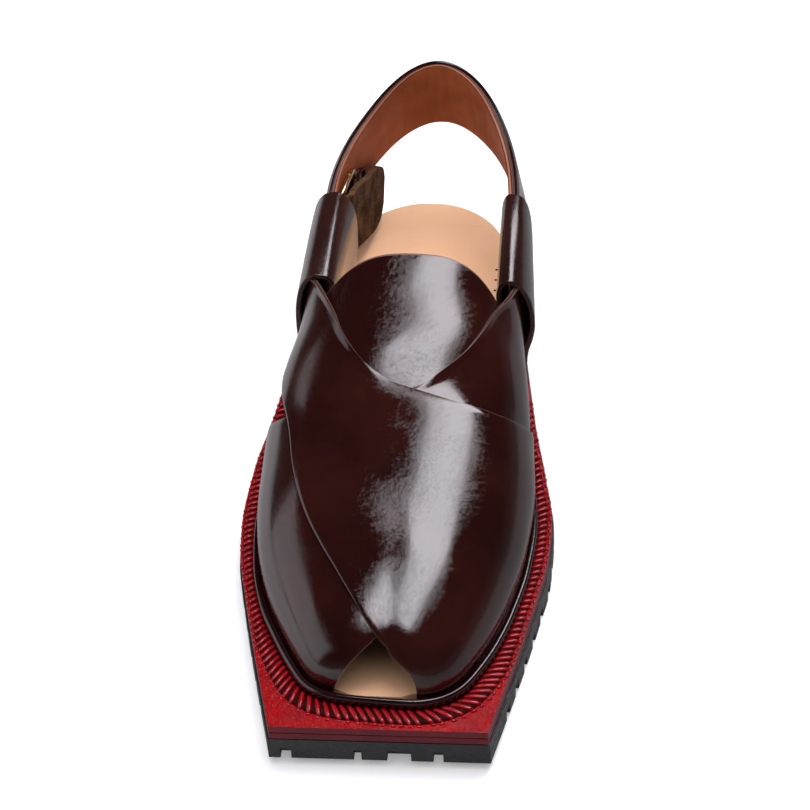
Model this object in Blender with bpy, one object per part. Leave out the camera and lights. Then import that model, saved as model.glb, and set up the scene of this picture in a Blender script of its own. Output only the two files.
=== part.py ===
"""Peshawari chappal for the right foot, modelled as the separate pieces a cobbler puts together.

Metres, +Z up. The toe points along -Y and the big-toe side is +X. The origin is on the floor under
the middle of the heel tread. A station is the distance from the back of the sole towards the toe.
"""
import math

import bpy
import bmesh
from mathutils import Vector

# Driving sizes
SOLE_LENGTH = 0.284
BALL_WIDTH = 0.116
HEEL_LIFT = 0.0125
TOE_SPRING = 0.0035
ARCH_RISE = 0.0065
INSTEP_HEIGHT = 0.0612
SADDLE_HEIGHT = 0.0560
HEEL_STRAP_TOP = 0.0705

# Thickness of each layer
OUTSOLE_THICKNESS = 0.0094
MIDSOLE_THICKNESS = 0.0030
WELT_THICKNESS = 0.0030
INSOLE_THICKNESS = 0.0052
VAMP_LEATHER = 0.0018
SADDLE_LEATHER = 0.0020
HEEL_STRAP_THICKNESS = 0.0046
TAIL_THICKNESS = 0.0024

# Rand, tread and small fittings
RAND_HEIGHT = 0.0042
RAND_WIDTH = 0.0030
RUBBER_PROUD = 0.0007
TREAD_PITCH = 0.0125
GROOVE_WIDTH = 0.0042
GROOVE_DEPTH = 0.0048
SIDE_LUG_LENGTH = 0.0170
HEEL_STRAP_WIDTH = 0.0310
TAIL_WIDTH = 0.0275
BUCKLE_WIRE = 0.0026
BUCKLE_HEIGHT = 0.0340

# Gap between two pieces that touch
MEETING_GAP = 0.0003

HALF_BALL = BALL_WIDTH / 2
HEEL_REST_STATION = 0.13 * SOLE_LENGTH
HEEL_ROUND = 0.12

# Sole edge: station, little-toe side, big-toe side; shares of length and half ball width
SOLE_EDGE = [
    (0.12, 0.560, 0.560),
    (0.20, 0.655, 0.640),
    (0.26, 0.745, 0.705),
    (0.31, 0.805, 0.740),
    (0.36, 0.865, 0.775),
    (0.45, 0.945, 0.845),
    (0.53, 1.015, 0.920),
    (0.61, 1.040, 0.975),
    (0.68, 1.020, 0.965),
    (0.75, 0.955, 0.910),
    (1.00, 0.665, 0.665),
]

# Side view of the sole: station, share of heel lift, share of toe spring, share of arch rise
SOLE_SIDE = [
    (0.000, 1.02, 0.00, 0.00),
    (0.235, 0.94, 0.00, 0.00),
    (0.243, 0.93, 0.00, 1.00),
    (0.340, 0.68, 0.00, 0.85),
    (0.460, 0.24, 0.00, 0.00),
    (0.580, 0.00, 0.00, 0.00),
    (0.780, 0.00, 0.00, 0.00),
    (0.900, 0.00, 0.40, 0.00),
    (1.000, 0.00, 1.00, 0.00),
]

# Inside of the upper, the last: ridge station, ridge height, base station, little-toe side base,
# big-toe side base, squareness, little-toe side bulge, big-toe side bulge; shares of length, instep
# height, length, half ball width, half ball width, none, bulge, bulge
LAST = [
    (0.200, 1.080, 0.200, 0.565, 0.565, 2.9, -0.30, 0.50),
    (0.280, 1.060, 0.280, 0.622, 0.602, 2.9, -0.30, 0.50),
    (0.352, 1.000, 0.352, 0.700, 0.655, 2.9, -0.30, 0.50),
    (0.415, 0.945, 0.415, 0.755, 0.690, 2.8, 0.05, 0.60),
    (0.482, 0.880, 0.482, 0.800, 0.725, 2.7, 0.60, 0.85),
    (0.563, 0.755, 0.563, 0.828, 0.756, 2.5, 1.00, 1.00),
    (0.634, 0.680, 0.636, 0.838, 0.780, 2.4, 1.00, 1.00),
    (0.704, 0.600, 0.713, 0.806, 0.748, 2.4, 1.00, 1.00),
    (0.768, 0.520, 0.785, 0.728, 0.678, 2.4, 0.85, 0.85),
    (0.824, 0.450, 0.847, 0.605, 0.590, 2.4, 0.70, 0.70),
    (0.866, 0.384, 0.895, 0.490, 0.490, 2.4, 0.55, 0.55),
    (0.898, 0.318, 0.926, 0.385, 0.390, 2.3, 0.50, 0.50),
    (0.919, 0.252, 0.938, 0.250, 0.290, 2.2, 0.40, 0.40),
    (0.930, 0.200, 0.9405, 0.130, 0.200, 2.2, 0.30, 0.30),
]
LAST_BULGE = 0.0058
RIDGE_SHIFT = 0.045

# Straps of the upper, rows from the sole to the saddle: station and place across of the edge
# nearer the ankle, then of the edge nearer the toe, then how far each edge stands off the last as
# a share of STRAP_TURN; across runs from -1 (little toe) to +1
TOP_STRAP = [
    (0.485, 1.00, 0.929, 1.00, 0.0, 0.0),
    (0.515, 0.84, 0.930, 0.78, 0.0, 0.0),
    (0.548, 0.67, 0.929, 0.48, 0.0, 0.0),
    (0.566, 0.50, 0.925, 0.12, 0.0, 0.0),
    (0.574, 0.34, 0.912, -0.05, 0.0, 0.0),
    (0.573, 0.20, 0.890, -0.11, 0.0, 0.0),
    (0.558, 0.02, 0.850, -0.18, 0.0, 0.0),
    (0.535, -0.08, 0.800, -0.25, 0.0, 0.0),
    (0.505, -0.16, 0.735, -0.33, 0.0, 0.0),
    (0.475, -0.23, 0.655, -0.40, 0.0, 0.0),
    (0.445, -0.29, 0.580, -0.45, 0.0, 0.0),
    (0.415, -0.37, 0.510, -0.57, 0.1, -0.2),
    (0.385, -0.46, 0.445, -0.70, 0.4, -0.6),
    (0.350, -0.58, 0.370, -0.81, 0.8, -0.8),
    (0.300, -0.61, 0.300, -0.84, 0.8, -0.8),
]
UNDER_STRAP = [
    (0.485, -1.00, 0.914, -1.00, 0.0, 0.0),
    (0.515, -0.84, 0.917, -0.80, 0.0, 0.0),
    (0.545, -0.67, 0.919, -0.56, 0.0, 0.0),
    (0.563, -0.52, 0.917, -0.34, 0.0, 0.0),
    (0.572, -0.36, 0.911, -0.16, 0.0, 0.0),
    (0.573, -0.20, 0.892, 0.01, 0.0, 0.0),
    (0.567, -0.08, 0.853, 0.14, 0.0, 0.0),
    (0.555, 0.02, 0.795, 0.25, 0.0, 0.0),
    (0.530, 0.11, 0.735, 0.37, 0.0, 0.0),
    (0.500, 0.21, 0.670, 0.50, 0.0, 0.0),
    (0.465, 0.30, 0.610, 0.62, 0.0, 0.0),
    (0.430, 0.38, 0.552, 0.72, 0.0, 0.0),
    (0.395, 0.48, 0.478, 0.79, 0.5, 0.0),
    (0.350, 0.58, 0.385, 0.83, 0.8, 0.0),
    (0.300, 0.62, 0.300, 0.85, 0.7, 0.0),
]
STRAP_TURN = 0.0040
# Tongue, rows from its round top to its hidden end: station at the middle, station at the sides,
# little-toe side edge, big-toe side edge
TONGUE = [
    (0.364, 0.400, -0.47, 0.43),
    (0.420, 0.440, -0.50, 0.47),
    (0.480, 0.490, -0.47, 0.46),
    (0.540, 0.545, -0.40, 0.40),
    (0.600, 0.600, -0.28, 0.28),
    (0.650, 0.645, -0.15, 0.15),
]
LAYER_OVERLAP = 0.0004
STRAP_RISE = 0.30

# Saddle loops, rows round the loop from the outer foot over the top to the inner foot: across and
# height at the rear edge, then at the front edge; shares of half ball width and saddle height
LITTLE_TOE_SADDLE = [
    (0.685, 0.00, 0.802, 0.00),
    (0.715, 0.26, 0.772, 0.27),
    (0.738, 0.48, 0.779, 0.47),
    (0.743, 0.62, 0.774, 0.66),
    (0.722, 0.78, 0.750, 0.84),
    (0.678, 0.93, 0.704, 0.96),
    (0.612, 1.00, 0.630, 1.02),
    (0.540, 1.01, 0.552, 1.01),
    (0.470, 0.95, 0.497, 0.94),
    (0.425, 0.83, 0.486, 0.82),
    (0.418, 0.69, 0.509, 0.66),
    (0.420, 0.51, 0.560, 0.46),
    (0.500, 0.27, 0.640, 0.24),
    (0.600, 0.11, 0.712, 0.11),
    (0.605, 0.00, 0.715, 0.00),
]
BIG_TOE_SADDLE = [
    (0.680, 0.00, 0.756, 0.00),
    (0.730, 0.26, 0.770, 0.27),
    (0.767, 0.48, 0.808, 0.44),
    (0.776, 0.63, 0.824, 0.58),
    (0.769, 0.79, 0.816, 0.72),
    (0.742, 0.93, 0.786, 0.85),
    (0.690, 1.00, 0.726, 0.95),
    (0.623, 1.01, 0.655, 0.99),
    (0.580, 0.95, 0.597, 0.96),
    (0.566, 0.83, 0.568, 0.85),
    (0.562, 0.69, 0.575, 0.68),
    (0.569, 0.51, 0.603, 0.46),
    (0.583, 0.28, 0.632, 0.25),
    (0.598, 0.11, 0.667, 0.11),
    (0.600, 0.00, 0.670, 0.00),
]
SADDLE_REAR = 0.205
SADDLE_FRONT = 0.370
REAR_TAPER = 0.050
FRONT_TAPER = 0.026

# Heel strap, rows from the little-toe side round the heel: station, across, height of its top
# edge, outward lean towards its bottom edge in degrees
HEEL_STRAP = [
    (0.297, -0.620, 0.590, 3),
    (0.205, -0.594, 0.612, 4),
    (0.176, -0.600, 0.655, 6),
    (0.106, -0.548, 0.688, 7),
    (0.053, -0.425, 0.752, 7),
    (0.018, -0.275, 0.858, 7),
    (-0.004, -0.115, 0.943, 6),
    (-0.010, 0.050, 0.993, 6),
    (-0.006, 0.185, 0.986, 7),
    (0.010, 0.340, 0.922, 8),
    (0.032, 0.455, 0.830, 10),
    (0.075, 0.555, 0.738, 11),
    (0.134, 0.625, 0.690, 8),
    (0.176, 0.642, 0.660, 4),
    (0.205, 0.652, 0.640, 1.5),
    (0.297, 0.668, 0.590, 1),
]
# Tail of the buckled strap, rows from inside the saddle to its rounded end: station, across,
# height of its middle above the insole as a share of saddle height, share of tail width
TAIL = [
    (0.290, -0.545, 0.550, 0.74),
    (0.211, -0.528, 0.550, 0.90),
    (0.176, -0.487, 0.490, 1.00),
    (0.141, -0.460, 0.430, 1.00),
    (0.106, -0.415, 0.370, 1.00),
    (0.038, -0.338, 0.270, 1.00),
]
TAIL_CORNER = 0.008

# Buckle: its two upright bars, station and across, and the height of its middle
BUCKLE_REAR = (0.106, -0.488)
BUCKLE_FRONT = (0.176, -0.540)
BUCKLE_MIDDLE = 0.464
BUCKLE_CORNER = 0.0045
CHAPE_LEATHER = 0.0010
CHAPE_LENGTH = 0.0090
CHAPE_BEND = 0.0016
CHAPE_HEIGHT = 0.0180
PRONG_WIRE = 0.0022


def slopes(knots, values):
    """Slopes of a smooth curve through the knots that never overshoots them."""
    count = len(knots)
    rises = [(values[i + 1] - values[i]) / (knots[i + 1] - knots[i]) for i in range(count - 1)]
    result = [rises[0]]
    for before, after in zip(rises, rises[1:]):
        result.append(2 * before * after / (before + after) if before * after > 0 else 0.0)
    result.append(rises[-1])
    return result


def read_table(table, column, share):
    """Value of one column of a table at a station share."""
    knots = [row[0] for row in table]
    values = [row[column] for row in table]
    share = min(max(share, knots[0]), knots[-1])
    tangents = slopes(knots, values)
    for i in range(len(knots) - 1):
        if share <= knots[i + 1]:
            break
    span = knots[i + 1] - knots[i]
    t = (share - knots[i]) / span
    blend = t * t * (3 - 2 * t)
    start = (t * (1 - t) ** 2) * span * tangents[i]
    end = (t * t * (t - 1)) * span * tangents[i + 1]
    return values[i] * (1 - blend) + values[i + 1] * blend + start + end


def place(station, across, height):
    return Vector((across, HEEL_REST_STATION - station, height))


def mix(a, b, t):
    return a + (b - a) * t


def spread(count, start=0.0, end=1.0):
    return [mix(start, end, i / (count - 1)) for i in range(count)]


def outsole_top(share):
    lift = HEEL_LIFT * read_table(SOLE_SIDE, 1, share)
    spring = TOE_SPRING * read_table(SOLE_SIDE, 2, share)
    return OUTSOLE_THICKNESS + lift + spring


def tread_height(share):
    spring = TOE_SPRING * read_table(SOLE_SIDE, 2, share)
    arch = ARCH_RISE * read_table(SOLE_SIDE, 3, share)
    return spring + arch


def midsole_top(share):
    return outsole_top(share) + MEETING_GAP + MIDSOLE_THICKNESS


def insole_top(share):
    return midsole_top(share) + MEETING_GAP + INSOLE_THICKNESS


def sole_half_width(share, side):
    """Half width of the sole; side is -1 for the little toe and +1 for the big toe."""
    column = 1 if side < 0 else 2
    if share >= HEEL_ROUND:
        return HALF_BALL * read_table(SOLE_EDGE, column, share)
    heel = HALF_BALL * SOLE_EDGE[0][column]
    return heel * math.sqrt(max(0.0, 1 - ((HEEL_ROUND - share) / HEEL_ROUND) ** 2))


def last_point(share, across):
    """Point on the last; across runs from -1 at the little-toe base over the ridge to +1."""
    side = -1 if across < 0 else 1
    column = 3 if side < 0 else 4
    power = 2 / read_table(LAST, 5, share)
    turn = (1 - abs(across)) * math.pi / 2
    base_share = read_table(LAST, 2, share)
    base_across = side * HALF_BALL * read_table(LAST, column, share)
    base_height = midsole_top(base_share) + MEETING_GAP
    ridge_across = RIDGE_SHIFT * HALF_BALL
    ridge_height = insole_top(share) + INSTEP_HEIGHT * read_table(LAST, 1, share)
    inward = 1 - math.cos(turn) ** power if abs(across) > 0 else 1.0
    upward = math.sin(turn) ** power
    bulge = side * LAST_BULGE * read_table(LAST, 6 if side < 0 else 7, share) * math.sin(2 * turn)
    return place(
        SOLE_LENGTH * mix(base_share, share, inward),
        mix(base_across, ridge_across, inward) + bulge,
        mix(base_height, ridge_height, upward),
    )


def last_normal(share, across):
    step = 0.004
    side = -1 if across < 0 else 1
    low = min(abs(across) + step, 1.0) * side
    high = max(abs(across) - step, 0.0) * side
    along = last_point(share + step, across) - last_point(share - step, across)
    around = (last_point(share, high) - last_point(share, low)) * side
    return around.cross(along).normalized()


def on_last(share, across, distance):
    return last_point(share, across) + last_normal(share, across) * distance


def material(name, colour, roughness, metallic=0.0):
    finish = bpy.data.materials.new(name)
    finish.use_nodes = True
    shader = finish.node_tree.nodes["Principled BSDF"]
    shader.inputs["Base Color"].default_value = (*colour, 1.0)
    shader.inputs["Roughness"].default_value = roughness
    shader.inputs["Metallic"].default_value = metallic
    return finish


def solid(name, vertices, faces, finish):
    """Closed object from points and faces, with its faces turned outwards."""
    mesh = bpy.data.meshes.new(name)
    work = bmesh.new()
    corners = [work.verts.new(point) for point in vertices]
    for face in faces:
        work.faces.new([corners[i] for i in face])
    bmesh.ops.recalc_face_normals(work, faces=work.faces)
    bmesh.ops.triangulate(work, faces=work.faces)
    work.to_mesh(mesh)
    work.free()
    mesh.materials.append(finish)
    mesh.shade_smooth()
    mesh.set_sharp_from_angle(angle=math.radians(35))
    piece = bpy.data.objects.new(name, mesh)
    bpy.context.collection.objects.link(piece)
    return piece


def sheet(name, outer, inner, finish):
    """Closed sheet between two grids of points, each a list of rows of equal length."""
    rows = len(outer)
    columns = len(outer[0])
    vertices = [point for row in outer for point in row] + [point for row in inner for point in row]
    under = rows * columns
    faces = []
    for i in range(rows - 1):
        for j in range(columns - 1):
            a = i * columns + j
            quad = (a, a + 1, a + columns + 1, a + columns)
            faces.append(quad)
            faces.append(tuple(under + corner for corner in reversed(quad)))
    rim = [(0, j) for j in range(columns)] + [(i, columns - 1) for i in range(1, rows)]
    rim += [(rows - 1, j) for j in range(columns - 2, -1, -1)] + [(i, 0) for i in range(rows - 2, 0, -1)]
    for k in range(len(rim)):
        a = rim[k][0] * columns + rim[k][1]
        following = rim[(k + 1) % len(rim)]
        b = following[0] * columns + following[1]
        faces.append((a, b, under + b, under + a))
    return solid(name, vertices, faces, finish)


def combine(target, tool, operation):
    """Boolean of two objects, applied, with the tool removed."""
    modifier = target.modifiers.new("join", "BOOLEAN")
    modifier.operation = operation
    modifier.object = tool
    graph = bpy.context.evaluated_depsgraph_get()
    result = bpy.data.meshes.new_from_object(target.evaluated_get(graph))
    target.modifiers.remove(modifier)
    target.data = result
    bpy.data.objects.remove(tool)


def slab(name, stations, widths, low, high, finish):
    """Layer of the sole: widths, low and high are functions of the station share."""
    top = []
    bottom = []
    for share in stations:
        little, big = widths(share)
        station = share * SOLE_LENGTH
        top.append([place(station, across, high(share)) for across in (-little, big)])
        bottom.append([place(station, across, low(share)) for across in (-little, big)])
    return sheet(name, top, bottom, finish)


def heel_stations():
    """Stations round the back of the heel, close together where the edge turns."""
    angles = spread(9, 12, 90)
    return [HEEL_ROUND * (1 - math.cos(math.radians(angle))) for angle in angles]


def box_tool(name, boxes):
    """Cutter made of separate boxes, each a centre, a turn about Z and a size."""
    vertices = []
    faces = []
    for centre, turn, size in boxes:
        first = len(vertices)
        along = Vector((math.cos(turn), math.sin(turn), 0)) * size[0] / 2
        across = Vector((-math.sin(turn), math.cos(turn), 0)) * size[1] / 2
        up = Vector((0, 0, size[2] / 2))
        for level in (-1, 1):
            for a, b in ((-1, -1), (1, -1), (1, 1), (-1, 1)):
                vertices.append(centre + along * a + across * b + up * level)
        for face in ((3, 2, 1, 0), (4, 5, 6, 7), (0, 1, 5, 4), (1, 2, 6, 5), (2, 3, 7, 6), (3, 0, 4, 7)):
            faces.append([first + corner for corner in face])
    tool = solid(name, vertices, faces, bpy.data.materials.new(name))
    tool.hide_render = True
    tool.display_type = "WIRE"
    return tool


def tread_cutters():
    """Grooves between the lugs: side grooves, long grooves and notches in the toe edge."""
    sides = []
    for first, last in ((0.030, 0.215), (0.475, 0.945)):
        count = int((last - first) * SOLE_LENGTH / TREAD_PITCH)
        for i in range(count + 1):
            share = first + i * TREAD_PITCH / SOLE_LENGTH
            for side in (-1, 1):
                half = sole_half_width(share, side) + RUBBER_PROUD
                reach = min(SIDE_LUG_LENGTH, half * 0.5)
                middle = side * (half + GROOVE_DEPTH - reach / 2)
                height = tread_height(share)
                size = (reach + 2 * GROOVE_DEPTH, GROOVE_WIDTH, 2 * GROOVE_DEPTH)
                sides.append((place(share * SOLE_LENGTH, middle, height), 0.0, size))
    middles = []
    for share in (0.070, 0.165, 0.520, 0.600, 0.680, 0.760, 0.840, 0.920):
        half = min(sole_half_width(share, -1), sole_half_width(share, 1))
        size = (half * 0.55, GROOVE_WIDTH * 0.8, 1.6 * GROOVE_DEPTH)
        middles.append((place(share * SOLE_LENGTH, 0.0, tread_height(share)), 0.0, size))
    notches = []
    toe_half = sole_half_width(1.0, 1)
    for place_across, width in ((-0.86, 0.10), (-0.20, 0.07), (0.18, 0.22), (0.54, 0.09)):
        size = (width * toe_half, 4 * GROOVE_DEPTH, 2 * GROOVE_DEPTH)
        middle = place(SOLE_LENGTH, place_across * toe_half, tread_height(1.0))
        notches.append((middle, 0.0, size))
    return [box_tool(name, boxes) for name, boxes in
            (("side_grooves", sides), ("middle_grooves", middles), ("toe_notches", notches))]


def make_outsole(rubber):
    stations = heel_stations() + [0.16, 0.20, 0.234, 0.243, 0.29, 0.34, 0.40, 0.46]
    stations += [0.50, 0.54, 0.58, 0.61, 0.65, 0.69, 0.73, 0.78, 0.84, 0.90, 0.95, 1.0]

    def widths(share):
        return [sole_half_width(share, side) + RUBBER_PROUD for side in (-1, 1)]

    outsole = slab("outsole", stations, widths, tread_height, outsole_top, rubber)
    for tool in tread_cutters():
        combine(outsole, tool, "DIFFERENCE")
    return outsole


def make_midsole(finish):
    stations = heel_stations() + spread(24, 0.16, 1.0)

    def widths(share):
        return [sole_half_width(share, side) for side in (-1, 1)]

    def low(share):
        return outsole_top(share) + MEETING_GAP

    return slab("midsole", stations, widths, low, midsole_top, finish)


def insole_row(share):
    """Station share and half widths of the insole at a ridge station of the last."""
    if share < LAST[0][0]:
        sides = [min(sole_half_width(share, side), HALF_BALL * LAST[0][3]) for side in (-1, 1)]
        return share, sides
    base = read_table(LAST, 2, share)
    inset = MEETING_GAP * (1 + 3 * max(0.0, share - LAST[8][0]) / (LAST[-1][0] - LAST[8][0]))
    sides = [HALF_BALL * read_table(LAST, column, share) - inset for column in (3, 4)]
    return base - inset / SOLE_LENGTH, sides


def make_insole(leather):
    ridge = heel_stations() + [0.15, 0.18] + spread(16, 0.20, 0.80)
    ridge += [0.824, 0.848, 0.866, 0.884, 0.898, 0.909, 0.919, 0.925, 0.930]
    top = []
    bottom = []
    for share in ridge:
        station, (little, big) = insole_row(share)
        floor = midsole_top(station) + MEETING_GAP
        edges = [(-little, floor), (big, floor)]
        bottom.append([place(station * SOLE_LENGTH, across, height) for across, height in edges])
        top.append([point + Vector((0, 0, INSOLE_THICKNESS)) for point in bottom[-1]])
    return sheet("insole", top, bottom, leather)


def wall_point(share, side, height):
    """Station and across of the upper's outer face at a height above the midsole."""
    layers = 1 if side < 0 else 2
    low = 0.5
    high = 1.0
    for _ in range(24):
        across = (low + high) / 2
        rise = smooth_step((1 - across) / STRAP_RISE)
        distance = VAMP_LEATHER + layers * (VAMP_LEATHER - LAYER_OVERLAP) * rise
        point = on_last(share, across * side, distance)
        station = HEEL_REST_STATION - point.y
        if point.z > midsole_top(station / SOLE_LENGTH) + height:
            low = across
        else:
            high = across
    return station, point.x


def base_path(start, height, distance):
    """Line round the upper at a height, from the little-toe side over the toe, moved outwards."""
    ridge = spread(15, start, 0.80) + [0.824, 0.848, 0.866, 0.884, 0.898, 0.909, 0.919, 0.925, 0.930]
    line = [wall_point(share, -1, height) for share in ridge]
    line += [wall_point(share, 1, height) for share in reversed(ridge)]
    shares = ridge + ridge[::-1]
    moved = []
    for i, (station, across) in enumerate(line):
        before = line[max(i - 1, 0)]
        after = line[min(i + 1, len(line) - 1)]
        run = Vector((after[0] - before[0], after[1] - before[1])).normalized()
        moved.append((station + run.y * distance, across - run.x * distance))
    return shares, moved


def make_welt(leather):
    """Rim of the forefoot: its outer edge follows the sole, its inner edge the upper."""
    shares, inner = base_path(0.362, WELT_THICKNESS + MEETING_GAP, 2 * MEETING_GAP)
    corner = 0.884
    rows = []
    for i, share in enumerate(shares):
        side = -1 if i < len(shares) // 2 else 1
        if share <= corner:
            outer_share = mix(0.362, 1.0, (share - 0.362) / (corner - 0.362))
            across = side * sole_half_width(outer_share, side)
        else:
            outer_share = 1.0
            across = side * sole_half_width(1.0, side) * (1 - 0.9 * (share - corner) / (0.930 - corner))
        rows.append(((inner[i][0], inner[i][1]), (outer_share * SOLE_LENGTH, across)))
    top = []
    bottom = []
    for row in rows:
        floor = [midsole_top(station / SOLE_LENGTH) + MEETING_GAP for station, across in row]
        bottom.append([place(*point, height) for point, height in zip(row, floor)])
        top.append([place(*point, height + WELT_THICKNESS) for point, height in zip(row, floor)])
    return sheet("welt", top, bottom, leather)


def make_rand(leather):
    """Bead of leather that covers the seam between the upper and the welt."""
    height = WELT_THICKNESS + MEETING_GAP + RAND_HEIGHT
    inner = base_path(0.480, height, MEETING_GAP)[1]
    outer = base_path(0.480, height, MEETING_GAP + RAND_WIDTH)[1]
    top = []
    bottom = []
    for near, far in zip(inner, outer):
        station = min(near[0], far[0]) / SOLE_LENGTH
        floor = midsole_top(station) + WELT_THICKNESS + 2 * MEETING_GAP
        middle = ((near[0] + far[0]) / 2, (near[1] + far[1]) / 2)
        bottom.append([place(*point, floor) for point in (near, middle, far)])
        heights = (floor + RAND_HEIGHT * 0.85, floor + RAND_HEIGHT, floor + RAND_HEIGHT * 0.55)
        top.append([place(*point, height) for point, height in zip((near, middle, far), heights)])
    return sheet("rand", top, bottom, leather)


def strap_grid(rows, lift, base_side, across_count, between):
    """Outer and inner points of a strap that lies on the last, raised over the layers under it."""
    outer = []
    inner = []
    values = refine(rows, between)
    for ankle_share, ankle_across, toe_share, toe_across, ankle_turn, toe_turn in values:
        outer_row = []
        inner_row = []
        for t in spread(across_count):
            share = mix(ankle_share, toe_share, t)
            across = mix(ankle_across, toe_across, t)
            rise = 1.0
            if across * base_side > 0:
                rise = smooth_step((1 - abs(across)) / STRAP_RISE)
            height = lift * rise + STRAP_TURN * mix(ankle_turn, toe_turn, t)
            inner_row.append(on_last(share, across, height))
            outer_row.append(on_last(share, across, height + VAMP_LEATHER))
        outer.append(outer_row)
        inner.append(inner_row)
    return outer, inner


def smooth_step(t):
    t = min(max(t, 0.0), 1.0)
    return t * t * (3 - 2 * t)


def refine(rows, between):
    """Rows with some more between them, along a smooth curve through each column."""
    table = [(float(i),) + tuple(row) for i, row in enumerate(rows)]
    steps = spread((len(rows) - 1) * between + 1, 0.0, len(rows) - 1.0)
    return [[read_table(table, column, step) for column in range(1, len(rows[0]) + 1)] for step in steps]


def make_upper(leather):
    """One wall: the tongue under the lower strap, which lies under the top strap."""
    outer = []
    inner = []
    for middle, side_station, little, big in refine(TONGUE, 2):
        outer_row = []
        inner_row = []
        for t in spread(13):
            across = mix(little, big, t)
            edge = abs(2 * t - 1) ** 2.2
            share = mix(middle, side_station, edge)
            inner_row.append(on_last(share, across, 0.0))
            outer_row.append(on_last(share, across, VAMP_LEATHER))
        outer.append(outer_row)
        inner.append(inner_row)
    upper = sheet("upper", outer, inner, leather)
    lift = VAMP_LEATHER - LAYER_OVERLAP
    under_strap = sheet("under_strap", *strap_grid(UNDER_STRAP, lift, -1, 17, 2), leather)
    top_strap = sheet("top_strap", *strap_grid(TOP_STRAP, 2 * lift, 1, 17, 2), leather)
    combine(upper, under_strap, "UNION")
    combine(upper, top_strap, "UNION")
    return upper


def make_saddle(name, table, side, leather):
    """Loop of leather that stands on the sole and holds the straps; open at both ends."""
    outline = refine(table, 2)
    stations = spread(6)
    grids = []
    for t in stations:
        line = []
        for rear_across, rear_height, front_across, front_height in outline:
            height = mix(rear_height, front_height, t)
            taper = (1 - min(height, 1.0)) ** 2
            rear = SADDLE_REAR + REAR_TAPER * taper
            front = SADDLE_FRONT - FRONT_TAPER * taper
            share = mix(rear, front, t)
            floor = midsole_top(share) + MEETING_GAP
            across = side * HALF_BALL * mix(rear_across, front_across, t)
            line.append(place(share * SOLE_LENGTH, across, floor + SADDLE_HEIGHT * height))
        grids.append(line)
    inner = [thinned(line, SADDLE_LEATHER, side) for line in grids]
    return sheet(name, grids, inner, leather)


def thinned(line, thickness, side):
    """Line of a loop moved into the loop by the thickness, its feet kept on the floor."""
    moved = []
    for i, point in enumerate(line):
        before = line[max(i - 1, 0)]
        after = line[min(i + 1, len(line) - 1)]
        run = Vector((after.x - before.x, after.z - before.z)).normalized()
        if i in (0, len(line) - 1):
            run = Vector((0, math.copysign(1, run.y)))
        inward = Vector((-run.y, 0, run.x)) * side
        moved.append(point + inward * thickness)
    return moved


def heel_strap_rows():
    rows = []
    for share, across, height, lean in refine(HEEL_STRAP, 3):
        rows.append((share * SOLE_LENGTH, across * HALF_BALL, insole_top(0.0) + height * HEEL_STRAP_TOP, lean))
    return rows


def make_heel_strap(leather):
    rows = heel_strap_rows()
    outer = []
    inner = []
    for i, (station, across, height, lean) in enumerate(rows):
        before = rows[max(i - 1, 0)]
        after = rows[min(i + 1, len(rows) - 1)]
        run = Vector((after[1] - before[1], before[0] - after[0])).normalized()
        out = Vector((-run.y, run.x, 0))
        down = Vector((0, 0, -math.cos(math.radians(lean)))) + out * math.sin(math.radians(lean))
        top = place(station, across, height)
        half = out * HEEL_STRAP_THICKNESS / 2
        levels = [top + down * HEEL_STRAP_WIDTH * t for t in (0.0, 1.0)]
        outer.append([point + half for point in levels])
        inner.append([point - half for point in levels])
    return sheet("heel_strap", outer, inner, leather)


def make_tail(suede):
    """Loose end of the buckled strap, flesh side towards the foot."""
    table = refine(TAIL, 4)
    rows = []
    for share, across, height, width in table:
        level = insole_top(0.0) + height * SADDLE_HEIGHT
        rows.append(place(share * SOLE_LENGTH, across * HALF_BALL, level))
    lengths = [0.0]
    for a, b in zip(rows, rows[1:]):
        lengths.append(lengths[-1] + (b - a).length)
    outer = []
    inner = []
    for i, middle in enumerate(rows):
        before = rows[max(i - 1, 0)]
        after = rows[min(i + 1, len(rows) - 1)]
        run = (after - before).normalized()
        out = Vector((run.y, -run.x, 0)).normalized() * -1
        up = out.cross(run).normalized()
        left = lengths[-1] - lengths[i]
        corner = max(0.0, 1 - left / TAIL_CORNER)
        half = TAIL_WIDTH * table[i][3] / 2 - TAIL_CORNER * (1 - math.sqrt(max(0.0, 1 - corner * corner)))
        levels = [middle + up * half * t for t in spread(5, -1.0, 1.0)]
        outer.append([point + out * TAIL_THICKNESS / 2 for point in levels])
        inner.append([point - out * TAIL_THICKNESS / 2 for point in levels])
    return sheet("strap_tail", outer, inner, suede)


def tube(name, path, normal, radius, closed, finish):
    """Round wire along a flat path; normal is the direction square to the path's plane."""
    sides = 10
    vertices = []
    for i, point in enumerate(path):
        before = path[i - 1] if closed or i > 0 else point
        after = path[(i + 1) % len(path)] if closed or i < len(path) - 1 else point
        run = (after - before).normalized()
        across = run.cross(normal)
        for k in range(sides):
            angle = 2 * math.pi * k / sides
            vertices.append(point + (normal * math.cos(angle) + across * math.sin(angle)) * radius)
    faces = []
    for i in range(len(path) if closed else len(path) - 1):
        following = (i + 1) % len(path)
        for k in range(sides):
            a = i * sides + k
            b = i * sides + (k + 1) % sides
            c = following * sides + (k + 1) % sides
            d = following * sides + k
            faces.append((a, b, c, d))
    if not closed:
        faces.append(tuple(range(sides)))
        faces.append(tuple((len(path) - 1) * sides + k for k in range(sides)))
    return solid(name, vertices, faces, finish)


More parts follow.
